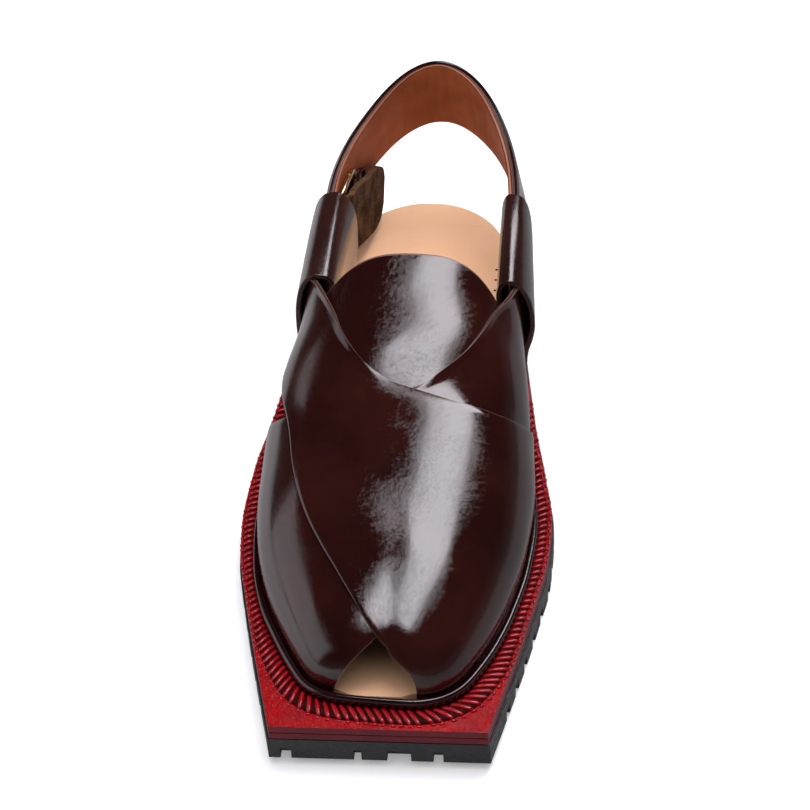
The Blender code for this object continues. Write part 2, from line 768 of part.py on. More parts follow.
def buckle_plane():
    """Middles of the two upright bars, the direction from rear to front and the plane's normal."""
    height = insole_top(0.0) + BUCKLE_MIDDLE * SADDLE_HEIGHT
    rear = place(BUCKLE_REAR[0] * SOLE_LENGTH, BUCKLE_REAR[1] * HALF_BALL, height)
    front = place(BUCKLE_FRONT[0] * SOLE_LENGTH, BUCKLE_FRONT[1] * HALF_BALL, height)
    along = (front - rear).normalized()
    return rear, front, along, along.cross(Vector((0, 0, 1)))


def make_buckle_frame(brass):
    rear, front, along, normal = buckle_plane()
    up = Vector((0, 0, 1))
    half_height = BUCKLE_HEIGHT / 2 - BUCKLE_WIRE / 2
    path = []
    corners = ((front, 1, 1), (rear, -1, 1), (rear, -1, -1), (front, 1, -1))
    for k, (bar, ahead, above) in enumerate(corners):
        centre = bar - along * ahead * BUCKLE_CORNER + up * above * (half_height - BUCKLE_CORNER)
        for angle in spread(4, k * 90, k * 90 + 90):
            turn = math.radians(angle)
            path.append(centre + (along * math.cos(turn) + up * math.sin(turn)) * BUCKLE_CORNER)
    return tube("buckle_frame", path, normal, BUCKLE_WIRE / 2, True, brass)


def make_buckle_prong(brass):
    rear, front, along, normal = buckle_plane()
    start = rear + along * (BUCKLE_WIRE / 2 + CHAPE_LEATHER + 2 * MEETING_GAP)
    end = front - along * (BUCKLE_WIRE / 2 + MEETING_GAP)
    path = [start.lerp(end, t) for t in spread(4)]
    return tube("buckle_prong", path, normal, PRONG_WIRE / 2, False, brass)


def make_buckle_chape(leather):
    """Fold of leather round the rear bar of the buckle."""
    rear, front, along, normal = buckle_plane()
    radius = BUCKLE_WIRE / 2 + MEETING_GAP + CHAPE_LEATHER / 2
    flat = CHAPE_LEATHER / 2 + MEETING_GAP / 2
    line = [(-CHAPE_LENGTH, -flat), (-CHAPE_LENGTH * 0.45, -flat), (-radius * 1.15, -radius * 0.72)]
    for angle in spread(7, -120, 120):
        line.append((radius * math.cos(math.radians(angle)), radius * math.sin(math.radians(angle))))
    line += [(ahead, -aside) for ahead, aside in line[2::-1]]
    outer = []
    inner = []
    for i, (ahead, aside) in enumerate(line):
        before = line[max(i - 1, 0)]
        after = line[min(i + 1, len(line) - 1)]
        run = Vector((after[0] - before[0], after[1] - before[1])).normalized()
        out = (run.y, -run.x)
        for grid, shift in ((outer, 0.5), (inner, -0.5)):
            place_ahead = ahead + out[0] * CHAPE_LEATHER * shift
            bend = CHAPE_BEND * (min(ahead, 0.0) / CHAPE_LENGTH) ** 2
            place_aside = aside + out[1] * CHAPE_LEATHER * shift - bend
            point = rear + along * place_ahead + normal * place_aside
            grid.append([point + Vector((0, 0, CHAPE_HEIGHT * level)) for level in (-0.5, 0.5)])
    return sheet("buckle_chape", outer, inner, leather)


def main():
    for thing in list(bpy.data.objects):
        bpy.data.objects.remove(thing)
    rubber = material("black_rubber", (0.020, 0.020, 0.021), 0.55)
    maroon = material("maroon_sole_leather", (0.080, 0.014, 0.018), 0.35)
    red = material("red_rim_leather", (0.360, 0.002, 0.004), 0.22)
    tan = material("tan_insole_leather", (0.720, 0.420, 0.235), 0.55)
    oxblood = material("oxblood_leather", (0.030, 0.010, 0.009), 0.18)
    suede = material("brown_suede", (0.050, 0.022, 0.012), 0.95)
    gold = material("pale_gold_metal", (0.780, 0.640, 0.380), 0.25, 1.0)
    make_outsole(rubber)
    make_midsole(maroon)
    make_welt(red)
    make_rand(oxblood)
    make_insole(tan)
    make_upper(oxblood)
    make_saddle("saddle_little_toe_side", LITTLE_TOE_SADDLE, -1, oxblood)
    make_saddle("saddle_big_toe_side", BIG_TOE_SADDLE, 1, oxblood)
    make_heel_strap(oxblood)
    make_tail(suede)
    make_buckle_frame(gold)
    make_buckle_prong(gold)
    make_buckle_chape(oxblood)


main()
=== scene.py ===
"""Peshawari chappal for the right foot, dressed in polished leather, suede, rubber and metal.

Metres, +Z up. The toe points along -Y and the big-toe side is +X. A station is the distance from
the back of the sole towards the toe.
"""

import functools
import math

import bpy
from mathutils import Matrix, Vector, noise


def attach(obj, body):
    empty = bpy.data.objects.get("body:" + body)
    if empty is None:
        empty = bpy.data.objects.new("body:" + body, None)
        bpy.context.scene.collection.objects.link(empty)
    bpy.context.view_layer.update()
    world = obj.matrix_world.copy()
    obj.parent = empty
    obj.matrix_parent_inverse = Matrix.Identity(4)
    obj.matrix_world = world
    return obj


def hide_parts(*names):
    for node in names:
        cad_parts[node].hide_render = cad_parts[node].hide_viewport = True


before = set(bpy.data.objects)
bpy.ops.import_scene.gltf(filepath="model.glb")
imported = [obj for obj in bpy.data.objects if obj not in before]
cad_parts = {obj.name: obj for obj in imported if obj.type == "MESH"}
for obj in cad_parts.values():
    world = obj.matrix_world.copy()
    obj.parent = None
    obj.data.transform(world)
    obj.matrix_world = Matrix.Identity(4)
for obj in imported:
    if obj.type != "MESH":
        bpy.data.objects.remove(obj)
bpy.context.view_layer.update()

# Driving sizes, the same as those of the solids
SOLE_LENGTH = 0.284
BALL_WIDTH = 0.116
HEEL_LIFT = 0.0125
TOE_SPRING = 0.0035
ARCH_RISE = 0.0065
INSTEP_HEIGHT = 0.0612
SADDLE_HEIGHT = 0.0560
HEEL_STRAP_TOP = 0.0705
OUTSOLE_THICKNESS = 0.0094
MIDSOLE_THICKNESS = 0.0030
WELT_THICKNESS = 0.0030
INSOLE_THICKNESS = 0.0052
VAMP_LEATHER = 0.0018
SADDLE_LEATHER = 0.0020
HEEL_STRAP_THICKNESS = 0.0046
TAIL_THICKNESS = 0.0024
RAND_HEIGHT = 0.0042
RAND_WIDTH = 0.0030
RUBBER_PROUD = 0.0007
TREAD_PITCH = 0.0125
GROOVE_WIDTH = 0.0042
GROOVE_DEPTH = 0.0048
SIDE_LUG_LENGTH = 0.0170
HEEL_STRAP_WIDTH = 0.0310
TAIL_WIDTH = 0.0275
BUCKLE_WIRE = 0.0026
BUCKLE_HEIGHT = 0.0340
MEETING_GAP = 0.0003
HALF_BALL = BALL_WIDTH / 2
HEEL_REST_STATION = 0.13 * SOLE_LENGTH
HEEL_ROUND = 0.12

# Sole edge: station, little-toe side, big-toe side; shares of length and half ball width
SOLE_EDGE = (
    (0.12, 0.560, 0.560),
    (0.20, 0.655, 0.640),
    (0.26, 0.745, 0.705),
    (0.31, 0.805, 0.740),
    (0.36, 0.865, 0.775),
    (0.45, 0.945, 0.845),
    (0.53, 1.015, 0.920),
    (0.61, 1.040, 0.975),
    (0.68, 1.020, 0.965),
    (0.75, 0.955, 0.910),
    (1.00, 0.665, 0.665),
)

# Side view of the sole: station, share of heel lift, share of toe spring, share of arch rise
SOLE_SIDE = (
    (0.000, 1.02, 0.00, 0.00),
    (0.235, 0.94, 0.00, 0.00),
    (0.243, 0.93, 0.00, 1.00),
    (0.340, 0.68, 0.00, 0.85),
    (0.460, 0.24, 0.00, 0.00),
    (0.580, 0.00, 0.00, 0.00),
    (0.780, 0.00, 0.00, 0.00),
    (0.900, 0.00, 0.40, 0.00),
    (1.000, 0.00, 1.00, 0.00),
)

# Inside of the upper, the last: ridge station, ridge height, base station, little-toe side base,
# big-toe side base, squareness, little-toe side bulge, big-toe side bulge
LAST = (
    (0.200, 1.080, 0.200, 0.565, 0.565, 2.9, -0.30, 0.50),
    (0.280, 1.060, 0.280, 0.622, 0.602, 2.9, -0.30, 0.50),
    (0.352, 1.000, 0.352, 0.700, 0.655, 2.9, -0.30, 0.50),
    (0.415, 0.945, 0.415, 0.755, 0.690, 2.8, 0.05, 0.60),
    (0.482, 0.880, 0.482, 0.800, 0.725, 2.7, 0.60, 0.85),
    (0.563, 0.755, 0.563, 0.828, 0.756, 2.5, 1.00, 1.00),
    (0.634, 0.680, 0.636, 0.838, 0.780, 2.4, 1.00, 1.00),
    (0.704, 0.600, 0.713, 0.806, 0.748, 2.4, 1.00, 1.00),
    (0.768, 0.520, 0.785, 0.728, 0.678, 2.4, 0.85, 0.85),
    (0.824, 0.450, 0.847, 0.605, 0.590, 2.4, 0.70, 0.70),
    (0.866, 0.384, 0.895, 0.490, 0.490, 2.4, 0.55, 0.55),
    (0.898, 0.318, 0.926, 0.385, 0.390, 2.3, 0.50, 0.50),
    (0.919, 0.252, 0.938, 0.250, 0.290, 2.2, 0.40, 0.40),
    (0.930, 0.200, 0.9405, 0.130, 0.200, 2.2, 0.30, 0.30),
)
LAST_BULGE = 0.0058
RIDGE_SHIFT = 0.045

# Straps of the upper, rows from the sole to the saddle: station and place across of the edge
# nearer the ankle, then of the edge nearer the toe, then how far each edge stands off the last
TOP_STRAP = (
    (0.485, 1.00, 0.929, 1.00, 0.0, 0.0),
    (0.515, 0.84, 0.930, 0.78, 0.0, 0.0),
    (0.548, 0.67, 0.929, 0.48, 0.0, 0.0),
    (0.566, 0.50, 0.925, 0.12, 0.0, 0.0),
    (0.574, 0.34, 0.912, -0.05, 0.0, 0.0),
    (0.573, 0.20, 0.890, -0.11, 0.0, 0.0),
    (0.558, 0.02, 0.850, -0.18, 0.0, 0.0),
    (0.535, -0.08, 0.800, -0.25, 0.0, 0.0),
    (0.505, -0.16, 0.735, -0.33, 0.0, 0.0),
    (0.475, -0.23, 0.655, -0.40, 0.0, 0.0),
    (0.445, -0.29, 0.580, -0.45, 0.0, 0.0),
    (0.415, -0.37, 0.510, -0.57, 0.1, -0.2),
    (0.385, -0.46, 0.445, -0.70, 0.4, -0.6),
    (0.350, -0.58, 0.370, -0.81, 0.8, -0.8),
    (0.300, -0.61, 0.300, -0.84, 0.8, -0.8),
)
UNDER_STRAP = (
    (0.485, -1.00, 0.914, -1.00, 0.0, 0.0),
    (0.515, -0.84, 0.917, -0.80, 0.0, 0.0),
    (0.545, -0.67, 0.919, -0.56, 0.0, 0.0),
    (0.563, -0.52, 0.917, -0.34, 0.0, 0.0),
    (0.572, -0.36, 0.911, -0.16, 0.0, 0.0),
    (0.573, -0.20, 0.892, 0.01, 0.0, 0.0),
    (0.567, -0.08, 0.853, 0.14, 0.0, 0.0),
    (0.555, 0.02, 0.795, 0.25, 0.0, 0.0),
    (0.530, 0.11, 0.735, 0.37, 0.0, 0.0),
    (0.500, 0.21, 0.670, 0.50, 0.0, 0.0),
    (0.465, 0.30, 0.610, 0.62, 0.0, 0.0),
    (0.430, 0.38, 0.552, 0.72, 0.0, 0.0),
    (0.395, 0.48, 0.478, 0.79, 0.5, 0.0),
    (0.350, 0.58, 0.385, 0.83, 0.8, 0.0),
    (0.300, 0.62, 0.300, 0.85, 0.7, 0.0),
)
STRAP_TURN = 0.0040
# Tongue, rows from its round top: station at the middle and at the sides, side edges
TONGUE = (
    (0.364, 0.400, -0.47, 0.43),
    (0.420, 0.440, -0.50, 0.47),
    (0.480, 0.490, -0.47, 0.46),
    (0.540, 0.545, -0.40, 0.40),
    (0.600, 0.600, -0.28, 0.28),
    (0.650, 0.645, -0.15, 0.15),
)
LAYER_OVERLAP = 0.0004
STRAP_RISE = 0.30

# Saddle loops, rows round the loop from the outer foot over the top to the inner foot: across and
# height at the rear edge, then at the front edge; shares of half ball width and saddle height
LITTLE_TOE_SADDLE = (
    (0.685, 0.00, 0.802, 0.00),
    (0.715, 0.26, 0.772, 0.27),
    (0.738, 0.48, 0.779, 0.47),
    (0.743, 0.62, 0.774, 0.66),
    (0.722, 0.78, 0.750, 0.84),
    (0.678, 0.93, 0.704, 0.96),
    (0.612, 1.00, 0.630, 1.02),
    (0.540, 1.01, 0.552, 1.01),
    (0.470, 0.95, 0.497, 0.94),
    (0.425, 0.83, 0.486, 0.82),
    (0.418, 0.69, 0.509, 0.66),
    (0.420, 0.51, 0.560, 0.46),
    (0.500, 0.27, 0.640, 0.24),
    (0.600, 0.11, 0.712, 0.11),
    (0.605, 0.00, 0.715, 0.00),
)
BIG_TOE_SADDLE = (
    (0.680, 0.00, 0.756, 0.00),
    (0.730, 0.26, 0.770, 0.27),
    (0.767, 0.48, 0.808, 0.44),
    (0.776, 0.63, 0.824, 0.58),
    (0.769, 0.79, 0.816, 0.72),
    (0.742, 0.93, 0.786, 0.85),
    (0.690, 1.00, 0.726, 0.95),
    (0.623, 1.01, 0.655, 0.99),
    (0.580, 0.95, 0.597, 0.96),
    (0.566, 0.83, 0.568, 0.85),
    (0.562, 0.69, 0.575, 0.68),
    (0.569, 0.51, 0.603, 0.46),
    (0.583, 0.28, 0.632, 0.25),
    (0.598, 0.11, 0.667, 0.11),
    (0.600, 0.00, 0.670, 0.00),
)
SADDLE_REAR = 0.205
SADDLE_FRONT = 0.370
REAR_TAPER = 0.050
FRONT_TAPER = 0.026

# Heel strap, rows from the little-toe side round the heel: station, across, height of its top
# edge, outward lean towards its bottom edge in degrees
HEEL_STRAP = (
    (0.297, -0.620, 0.590, 3),
    (0.205, -0.594, 0.612, 4),
    (0.176, -0.600, 0.655, 6),
    (0.106, -0.548, 0.688, 7),
    (0.053, -0.425, 0.752, 7),
    (0.018, -0.275, 0.858, 7),
    (-0.004, -0.115, 0.943, 6),
    (-0.010, 0.050, 0.993, 6),
    (-0.006, 0.185, 0.986, 7),
    (0.010, 0.340, 0.922, 8),
    (0.032, 0.455, 0.830, 10),
    (0.075, 0.555, 0.738, 11),
    (0.134, 0.625, 0.690, 8),
    (0.176, 0.642, 0.660, 4),
    (0.205, 0.652, 0.640, 1.5),
    (0.297, 0.668, 0.590, 1),
)
# Tail of the buckled strap, rows from inside the saddle to its rounded end: station, across,
# height of its middle above the insole as a share of saddle height, share of tail width
TAIL = (
    (0.290, -0.545, 0.550, 0.74),
    (0.211, -0.528, 0.550, 0.90),
    (0.176, -0.487, 0.490, 1.00),
    (0.141, -0.460, 0.430, 1.00),
    (0.106, -0.415, 0.370, 1.00),
    (0.038, -0.338, 0.270, 1.00),
)
TAIL_CORNER = 0.008
BUCKLE_REAR = (0.106, -0.488)
BUCKLE_FRONT = (0.176, -0.540)
BUCKLE_MIDDLE = 0.464
BUCKLE_CORNER = 0.0045
CHAPE_LEATHER = 0.0010
CHAPE_LENGTH = 0.0090
CHAPE_BEND = 0.0016
CHAPE_HEIGHT = 0.0180
PRONG_WIRE = 0.0022

# Sizes that only the looks need: roundings of the edges, and angles in degrees between the faces
# of an edge that is rounded, and of one that is shaded sharp
LEATHER_ROUND = 0.0004
STRAP_ROUND = 0.0007
SADDLE_ROUND = 0.0005
BELT_ROUND = 0.0003
TAIL_ROUND = 0.0005
CHAPE_ROUND = 0.00025
RUBBER_ROUND = 0.00035
MIDSOLE_ROUND = 0.0004
INSOLE_ROUND = 0.0007
RIM_ROUND = 0.00045
SHARP_ANGLE = 50
FLAT_ANGLE = 32
# Number of the finish that the rounded corners of a sheet get
CORNER_FINISH = 3
# Strap edges: how far they turn down, and how far the ankle edge stands up where it nears the
# tongue; the share of the strap's width that each takes, and where along the strap the lift grows
EDGE_DROP = 0.0003
EDGE_DROP_SHARE = 0.03
EDGE_LIFT = 0.0011
EDGE_LIFT_SHARE = 0.05
EDGE_LIFT_START = 0.42
EDGE_LIFT_RUN = 0.20
# Punched holes of the insole, and its front edge under the toe opening
HOLE_PITCH = 0.0066
HOLE_INSET = 0.0036
HOLE_RADIUS = 0.00055
HOLE_DEPTH = 0.0024
HOLES_FIRST = 0.15
HOLES_LAST = 0.56
TOE_REACH = 0.0015
OPEN_TOE_REACH = 0.0031
TOE_OPENING_MIDDLE = -0.0020
TOE_OPENING_HALF = 0.0130
TOE_OPENING_EASE = 0.0040
# Rim, its stitches and beads, and the rand; the stitches turn wider from the sides to the toe
NOTCH_DEPTH = 0.0036
RIM_START = 0.362
TOE_CORNER = 0.884
STITCH_START = 0.400
STITCH_PITCH = 0.0030
SIDE_STITCH_WIDTH = 0.0052
TOE_STITCH_WIDTH = 0.0074
LEAST_STITCH_WIDTH = 0.0012
STITCH_TURN_START = 0.78
STITCH_TURN_RUN = 0.14
SIDE_SLANT = 0.42
TOE_SLANT = 0.62
BAND_EDGE = 0.0014
STRAND_HALF_WIDTH = 0.00112
STRAND_HALF_HEIGHT = 0.00075
STRAND_ARCH = 0.00060
STRAND_SINK = 0.00025
BEAD_HALF_LENGTH = 0.00115
BEAD_HALF_WIDTH = 0.00058
BEAD_HALF_HEIGHT = 0.00050
BEAD_GAP = 0.00075
BEAD_SINK = 0.00015
BEAD_TILTS = (-0.25, 0.35)
BED_THICKNESS = 0.0005
BED_TUCK = 0.0012
BED_MARGIN = 0.0002
RAND_START = 0.480
RAND_TAPER = 0.05
PATH_STEP = 0.0008
LEAST_PATH_STEP = 0.0003
RIM_SEARCH_STEP = 0.0003
RIM_SEARCH_COUNT = 60
# Wear and softness of the leather; the span is the way round half the upper
HALF_UPPER_SPAN = 0.075
UNEVEN_DEPTH = 0.00005
TAIL_STEP = 0.01
TAIL_RAGGED = 0.0004
TAIL_FRAYED = 0.0007
TAIL_FRAY_START = 0.8
BELT_EASE = 0.0165
BELT_RUN = 0.030
BELT_ROLL_SHARE = 0.07
FOLD_SWAY = 0.006
FOLD_FADE = 0.2

# Stations round the toe, close together where the upper turns
TOE_STATIONS = (
    0.812, 0.824, 0.836, 0.848, 0.857, 0.866, 0.875, 0.884, 0.891, 0.898, 0.909, 0.919, 0.925,
    0.930,
)
# Grooves between the lugs: first and last station of those in the sides, stations of those in the
# middle, and place across and width of the notches in the toe edge, as shares
SIDE_GROOVES = ((0.030, 0.215), (0.475, 0.945))
MIDDLE_GROOVES = (0.070, 0.165, 0.520, 0.600, 0.680, 0.760, 0.840, 0.920)
TOE_NOTCHES = ((-0.86, 0.10), (-0.20, 0.07), (0.18, 0.22), (0.54, 0.09))


@functools.cache
def column_curve(table, column):
    """Knots, values and slopes of one column of a table; the curve never overshoots them."""
    knots = [row[0] for row in table]
    values = [row[column] for row in table]
    rises = [(values[i + 1] - values[i]) / (knots[i + 1] - knots[i]) for i in range(len(knots) - 1)]
    tangents = [rises[0]]
    for before, after in zip(rises, rises[1:]):
        tangents.append(2 * before * after / (before + after) if before * after > 0 else 0.0)
    tangents.append(rises[-1])
    return knots, values, tangents


def read_table(table, column, share):
    """Value of one column of a table at a station share."""
    knots, values, tangents = column_curve(table, column)
    share = min(max(share, knots[0]), knots[-1])
    i = 0
    while i < len(knots) - 2 and share > knots[i + 1]:
        i += 1
    span = knots[i + 1] - knots[i]
    t = (share - knots[i]) / span
    blend = t * t * (3 - 2 * t)
    start = (t * (1 - t) ** 2) * span * tangents[i]
    end = (t * t * (t - 1)) * span * tangents[i + 1]
    return values[i] * (1 - blend) + values[i + 1] * blend + start + end


@functools.cache
def numbered(table):
    """Table with a row number in front, so that it can be read at any place between its rows."""
    return tuple((float(i),) + tuple(row) for i, row in enumerate(table))


def read_row(table, share):
    """All columns of a table at a share of the way from its first row to its last."""
    rows = numbered(table)
    return [read_table(rows, column, share * (len(table) - 1)) for column in range(1, len(rows[0]))]


def place(station, across, height):
    """Point in the shared frame, from its distance from the back of the sole."""
    return Vector((across, HEEL_REST_STATION - station, height))


def mix(a, b, t):
    return a + (b - a) * t


def spread(count, start=0.0, end=1.0):
    """Evenly spaced numbers from start to end."""
    return [mix(start, end, i / (count - 1)) for i in range(count)]


def smooth_step(t):
    t = min(max(t, 0.0), 1.0)
    return t * t * (3 - 2 * t)


def to_edges(u):
    """Share across a sheet with the lines of the grid drawn together at both edges."""
    return u - 0.86 * math.sin(2 * math.pi * u) / (2 * math.pi)


def outsole_top(share):
    lift = HEEL_LIFT * read_table(SOLE_SIDE, 1, share)
    spring = TOE_SPRING * read_table(SOLE_SIDE, 2, share)
    return OUTSOLE_THICKNESS + lift + spring


def tread_height(share):
    spring = TOE_SPRING * read_table(SOLE_SIDE, 2, share)
    return spring + ARCH_RISE * read_table(SOLE_SIDE, 3, share)


def midsole_top(share):
    return outsole_top(share) + MEETING_GAP + MIDSOLE_THICKNESS


def insole_top(share):
    return midsole_top(share) + MEETING_GAP + INSOLE_THICKNESS


def rim_top(share):
    return midsole_top(share) + MEETING_GAP + WELT_THICKNESS


def sole_half_width(share, side):
    """Half width of the sole; side is -1 for the little toe and +1 for the big toe."""
    column = 1 if side < 0 else 2
    if share >= HEEL_ROUND:
        return HALF_BALL * read_table(SOLE_EDGE, column, share)
    heel = HALF_BALL * SOLE_EDGE[0][column]
    return heel * math.sqrt(max(0.0, 1 - ((HEEL_ROUND - share) / HEEL_ROUND) ** 2))


def last_point(share, across):
    """Point on the last; across runs from -1 at the little-toe base over the ridge to +1."""
    side = -1 if across < 0 else 1
    power = 2 / read_table(LAST, 5, share)
    turn = (1 - abs(across)) * math.pi / 2
    base_share = read_table(LAST, 2, share)
    base_across = side * HALF_BALL * read_table(LAST, 3 if side < 0 else 4, share)
    base_height = midsole_top(base_share) + MEETING_GAP
    ridge_across = RIDGE_SHIFT * HALF_BALL
    ridge_height = insole_top(share) + INSTEP_HEIGHT * read_table(LAST, 1, share)
    inward = 1 - math.cos(turn) ** power if abs(across) > 0 else 1.0
    upward = math.sin(turn) ** power
    bulge = side * LAST_BULGE * read_table(LAST, 6 if side < 0 else 7, share) * math.sin(2 * turn)
    return place(
        SOLE_LENGTH * mix(base_share, share, inward),
        mix(base_across, ridge_across, inward) + bulge,
        mix(base_height, ridge_height, upward),
    )


def last_normal(share, across):
    step = 0.004
    side = -1 if across < 0 else 1
    low = min(abs(across) + step, 1.0) * side
    high = max(abs(across) - step, 0.0) * side
    along = last_point(share + step, across) - last_point(share - step, across)
    around = (last_point(share, high) - last_point(share, low)) * side
    return around.cross(along).normalized()


def on_last(share, across, distance):
    """Point at a distance outside the last."""
    return last_point(share, across) + last_normal(share, across) * distance


# Modelling by hand: a primitive is laid in place, then thickened, rounded and smoothed

def pick_only(*pieces):
    """Nothing selected but these pieces, the last one active."""
    bpy.ops.object.select_all(action="DESELECT")
    for piece in pieces:
        piece.select_set(True)
        bpy.context.view_layer.objects.active = piece


def lay_sheet(name, rows, columns, locate, facing=(0, 0, 1), measure=None):
    """Grid laid over a surface; its faces look along facing, and measure gives its own UV map."""
    bpy.ops.object.select_all(action="DESELECT")
    bpy.ops.mesh.primitive_grid_add(x_subdivisions=columns, y_subdivisions=rows, size=1.0)
    piece = bpy.context.object
    piece.name = name
    piece.data.name = name
    shares = [(vertex.co.x + 0.5, vertex.co.y + 0.5) for vertex in piece.data.vertices]
    for vertex, (u, v) in zip(piece.data.vertices, shares):
        vertex.co = locate(u, v)
    if measure:
        uv = piece.data.uv_layers.active.data
        for loop in piece.data.loops:
            uv[loop.index].uv = measure(*shares[loop.vertex_index])
    looks = sum((face.normal * face.area for face in piece.data.polygons), Vector())
    if looks.dot(Vector(facing)) < 0:
        piece.data.flip_normals()
    return piece


def apply_modifiers(piece):
    pick_only(piece)
    for modifier in list(piece.modifiers):
        bpy.ops.object.modifier_apply(modifier=modifier.name)


def bevel(piece, width, segments, finish=-1):
    """Rounds the sharp edges; finish is the number of the finish that the rounding gets."""
    edge = piece.modifiers.new("edge", "BEVEL")
    edge.width = width
    edge.segments = segments
    edge.material = finish
    edge.limit_method = "ANGLE"
    edge.angle_limit = math.radians(SHARP_ANGLE)


def subdivide(piece, levels):
    smooth = piece.modifiers.new("smooth", "SUBSURF")
    smooth.levels = levels
    smooth.render_levels = levels


def thicken(piece, thickness, edge=LEATHER_ROUND, levels=2):
    """Gives a sheet its thickness away from its face, rounds its cut edge and smooths it.

    Its finishes are those of the face, the cut edge, the back and the rounded corners.
    """
    for _ in range(CORNER_FINISH + 1):
        piece.data.materials.append(None)
    wall = piece.modifiers.new("wall", "SOLIDIFY")
    wall.thickness = thickness
    wall.offset = -1.0
    wall.material_offset_rim = 1
    wall.material_offset = 2
    bevel(piece, edge, 2, CORNER_FINISH)
    subdivide(piece, levels)
    apply_modifiers(piece)
    piece.data.shade_smooth()
    return piece


def shade_by_angle(piece):
    """Smooth shading that leaves the edges of flat faces sharp."""
    pick_only(piece)
    bpy.ops.object.shade_smooth_by_angle(angle=math.radians(FLAT_ANGLE))


def round_slab(piece, width, segments):
    """Rounds a slab's edges for good and shades it."""
    bevel(piece, width, segments)
    apply_modifiers(piece)
    shade_by_angle(piece)


def close_tube(piece, levels=1):
    """Joins the long sides of a rolled grid, caps its ends and turns its faces outwards."""
    pick_only(piece)
    bpy.ops.object.mode_set(mode="EDIT")
    bpy.ops.mesh.select_all(action="SELECT")
    bpy.ops.mesh.remove_doubles(threshold=0.000001)
    bpy.ops.mesh.fill_holes(sides=0)
    bpy.ops.mesh.select_all(action="SELECT")
    bpy.ops.mesh.normals_make_consistent(inside=False)
    bpy.ops.object.mode_set(mode="OBJECT")
    if levels:
        subdivide(piece, levels)
        apply_modifiers(piece)
    piece.data.shade_smooth()
    return piece


def roll_wire(name, path, across, radius, closed, around):
    """Round wire along a path; across is square to the plane that the path lies in."""
    count = len(path)

    def locate(u, v):
        i = round(v * (count if closed else count - 1))
        point = path[i % count]
        before = path[(i - 1) % count] if closed or i > 0 else point
        after = path[(i + 1) % count] if closed or i < count - 1 else point
        beside = (after - before).normalized().cross(across)
        angle = 2 * math.pi * u
        return point + (across * math.cos(angle) + beside * math.sin(angle)) * radius

    rows = count if closed else count - 1
    return close_tube(lay_sheet(name, rows, around, locate))


def extrude_down(piece, depth):
    """Pulls the sheet down into a slab, with its underside kept."""
    pick_only(piece)
    bpy.ops.object.mode_set(mode="EDIT")
    bpy.ops.mesh.select_all(action="SELECT")
    bpy.ops.mesh.extrude_region_move(TRANSFORM_OT_translate={"value": (0, 0, -depth)})
    bpy.ops.mesh.select_all(action="SELECT")
    bpy.ops.mesh.normals_make_consistent(inside=False)
    bpy.ops.object.mode_set(mode="OBJECT")
    return piece


def cut(piece, tool):
    """Takes the tool's shape out of the piece."""
    modifier = piece.modifiers.new("cut", "BOOLEAN")
    modifier.operation = "DIFFERENCE"
    modifier.solver = "EXACT"
    modifier.material_mode = "TRANSFER"
    modifier.object = tool
    apply_modifiers(piece)
    bpy.data.objects.remove(tool)


def axes_matrix(ahead, beside, up, start):
    """Matrix that lays a small shape's X, Y and Z along three directions from a start."""
    columns = (ahead, beside, up, start)
    return Matrix([[column[k] for column in columns] for k in range(3)] + [[0, 0, 0, 1]])


def copies(name, template, places):
    """One piece made of copies of a small shape, one at each place."""
    made = []
    for matrix in places:
        copy = template.copy()
        copy.data = template.data.copy()
        copy.data.transform(matrix)
        bpy.context.collection.objects.link(copy)
        made.append(copy)
    bpy.data.objects.remove(template)
    pick_only(*made)
    bpy.ops.object.join()
    piece = bpy.context.object
    piece.name = name
    piece.data.name = name
    return piece


def dress(piece, slot, nodes, *finishes):
    """Gives a piece its finishes, hangs it under the root body and hides the CAD parts that it
    stands for.
    """
    for i, finish in enumerate(finishes):
        if i < len(piece.data.materials):
            piece.data.materials[i] = finish
        else:
            piece.data.materials.append(finish)
    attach(piece, "root")
    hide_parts(*nodes)


# Finishes

def add(tree, kind, values=None, **settings):
    """Adds a node; values are its sockets by name or number, each a number, colour or socket."""
    made = tree.nodes.new(kind)
    for key, value in settings.items():
        setattr(made, key, value)
    for key, value in (values or {}).items():
        if isinstance(value, bpy.types.NodeSocket):
            tree.links.new(value, made.inputs[key])
        else:
            made.inputs[key].default_value = value
    return made


def maths(tree, operation, first, second):
    return add(tree, "ShaderNodeMath", {0: first, 1: second}, operation=operation).outputs[0]


def blend_colours(tree, factor, first, second, blend="MIX"):
    values = {0: factor, 6: first, 7: second}
    return add(tree, "ShaderNodeMix", values, data_type="RGBA", blend_type=blend).outputs[2]


def stain(tree, colour, mask, amount, tone):
    """Colour with a share of another tone in it where the mask is white."""
    return blend_colours(tree, maths(tree, "MULTIPLY", mask, amount), colour, (*tone, 1))


def noise_value(tree, where, scale, detail):
    values = {"Vector": where, "Scale": scale, "Detail": detail}
    return add(tree, "ShaderNodeTexNoise", values).outputs[0]


def cell_value(tree, where, scale, feature):
    values = {"Vector": where, "Scale": scale}
    return add(tree, "ShaderNodeTexVoronoi", values, feature=feature).outputs["Distance"]


def ranged(tree, value, low, high, to_low=0.0, to_high=1.0):
    """Value stretched from one range to another and kept inside it."""
    values = {0: value, 1: low, 2: high, 3: to_low, 4: to_high}
    return add(tree, "ShaderNodeMapRange", values, interpolation_type="SMOOTHSTEP").outputs[0]


def new_group(name, inputs, outputs):
    """Node group with named number inputs, each with its usual value, and named outputs."""
    tree = bpy.data.node_groups.new(name, "ShaderNodeTree")
    for label, value in inputs:
        socket = tree.interface.new_socket(label, in_out="INPUT", socket_type="NodeSocketFloat")
        socket.default_value = value
    for label in outputs:
        tree.interface.new_socket(label, in_out="OUTPUT", socket_type="NodeSocketFloat")
    return tree, add(tree, "NodeGroupInput").outputs, add(tree, "NodeGroupOutput").inputs


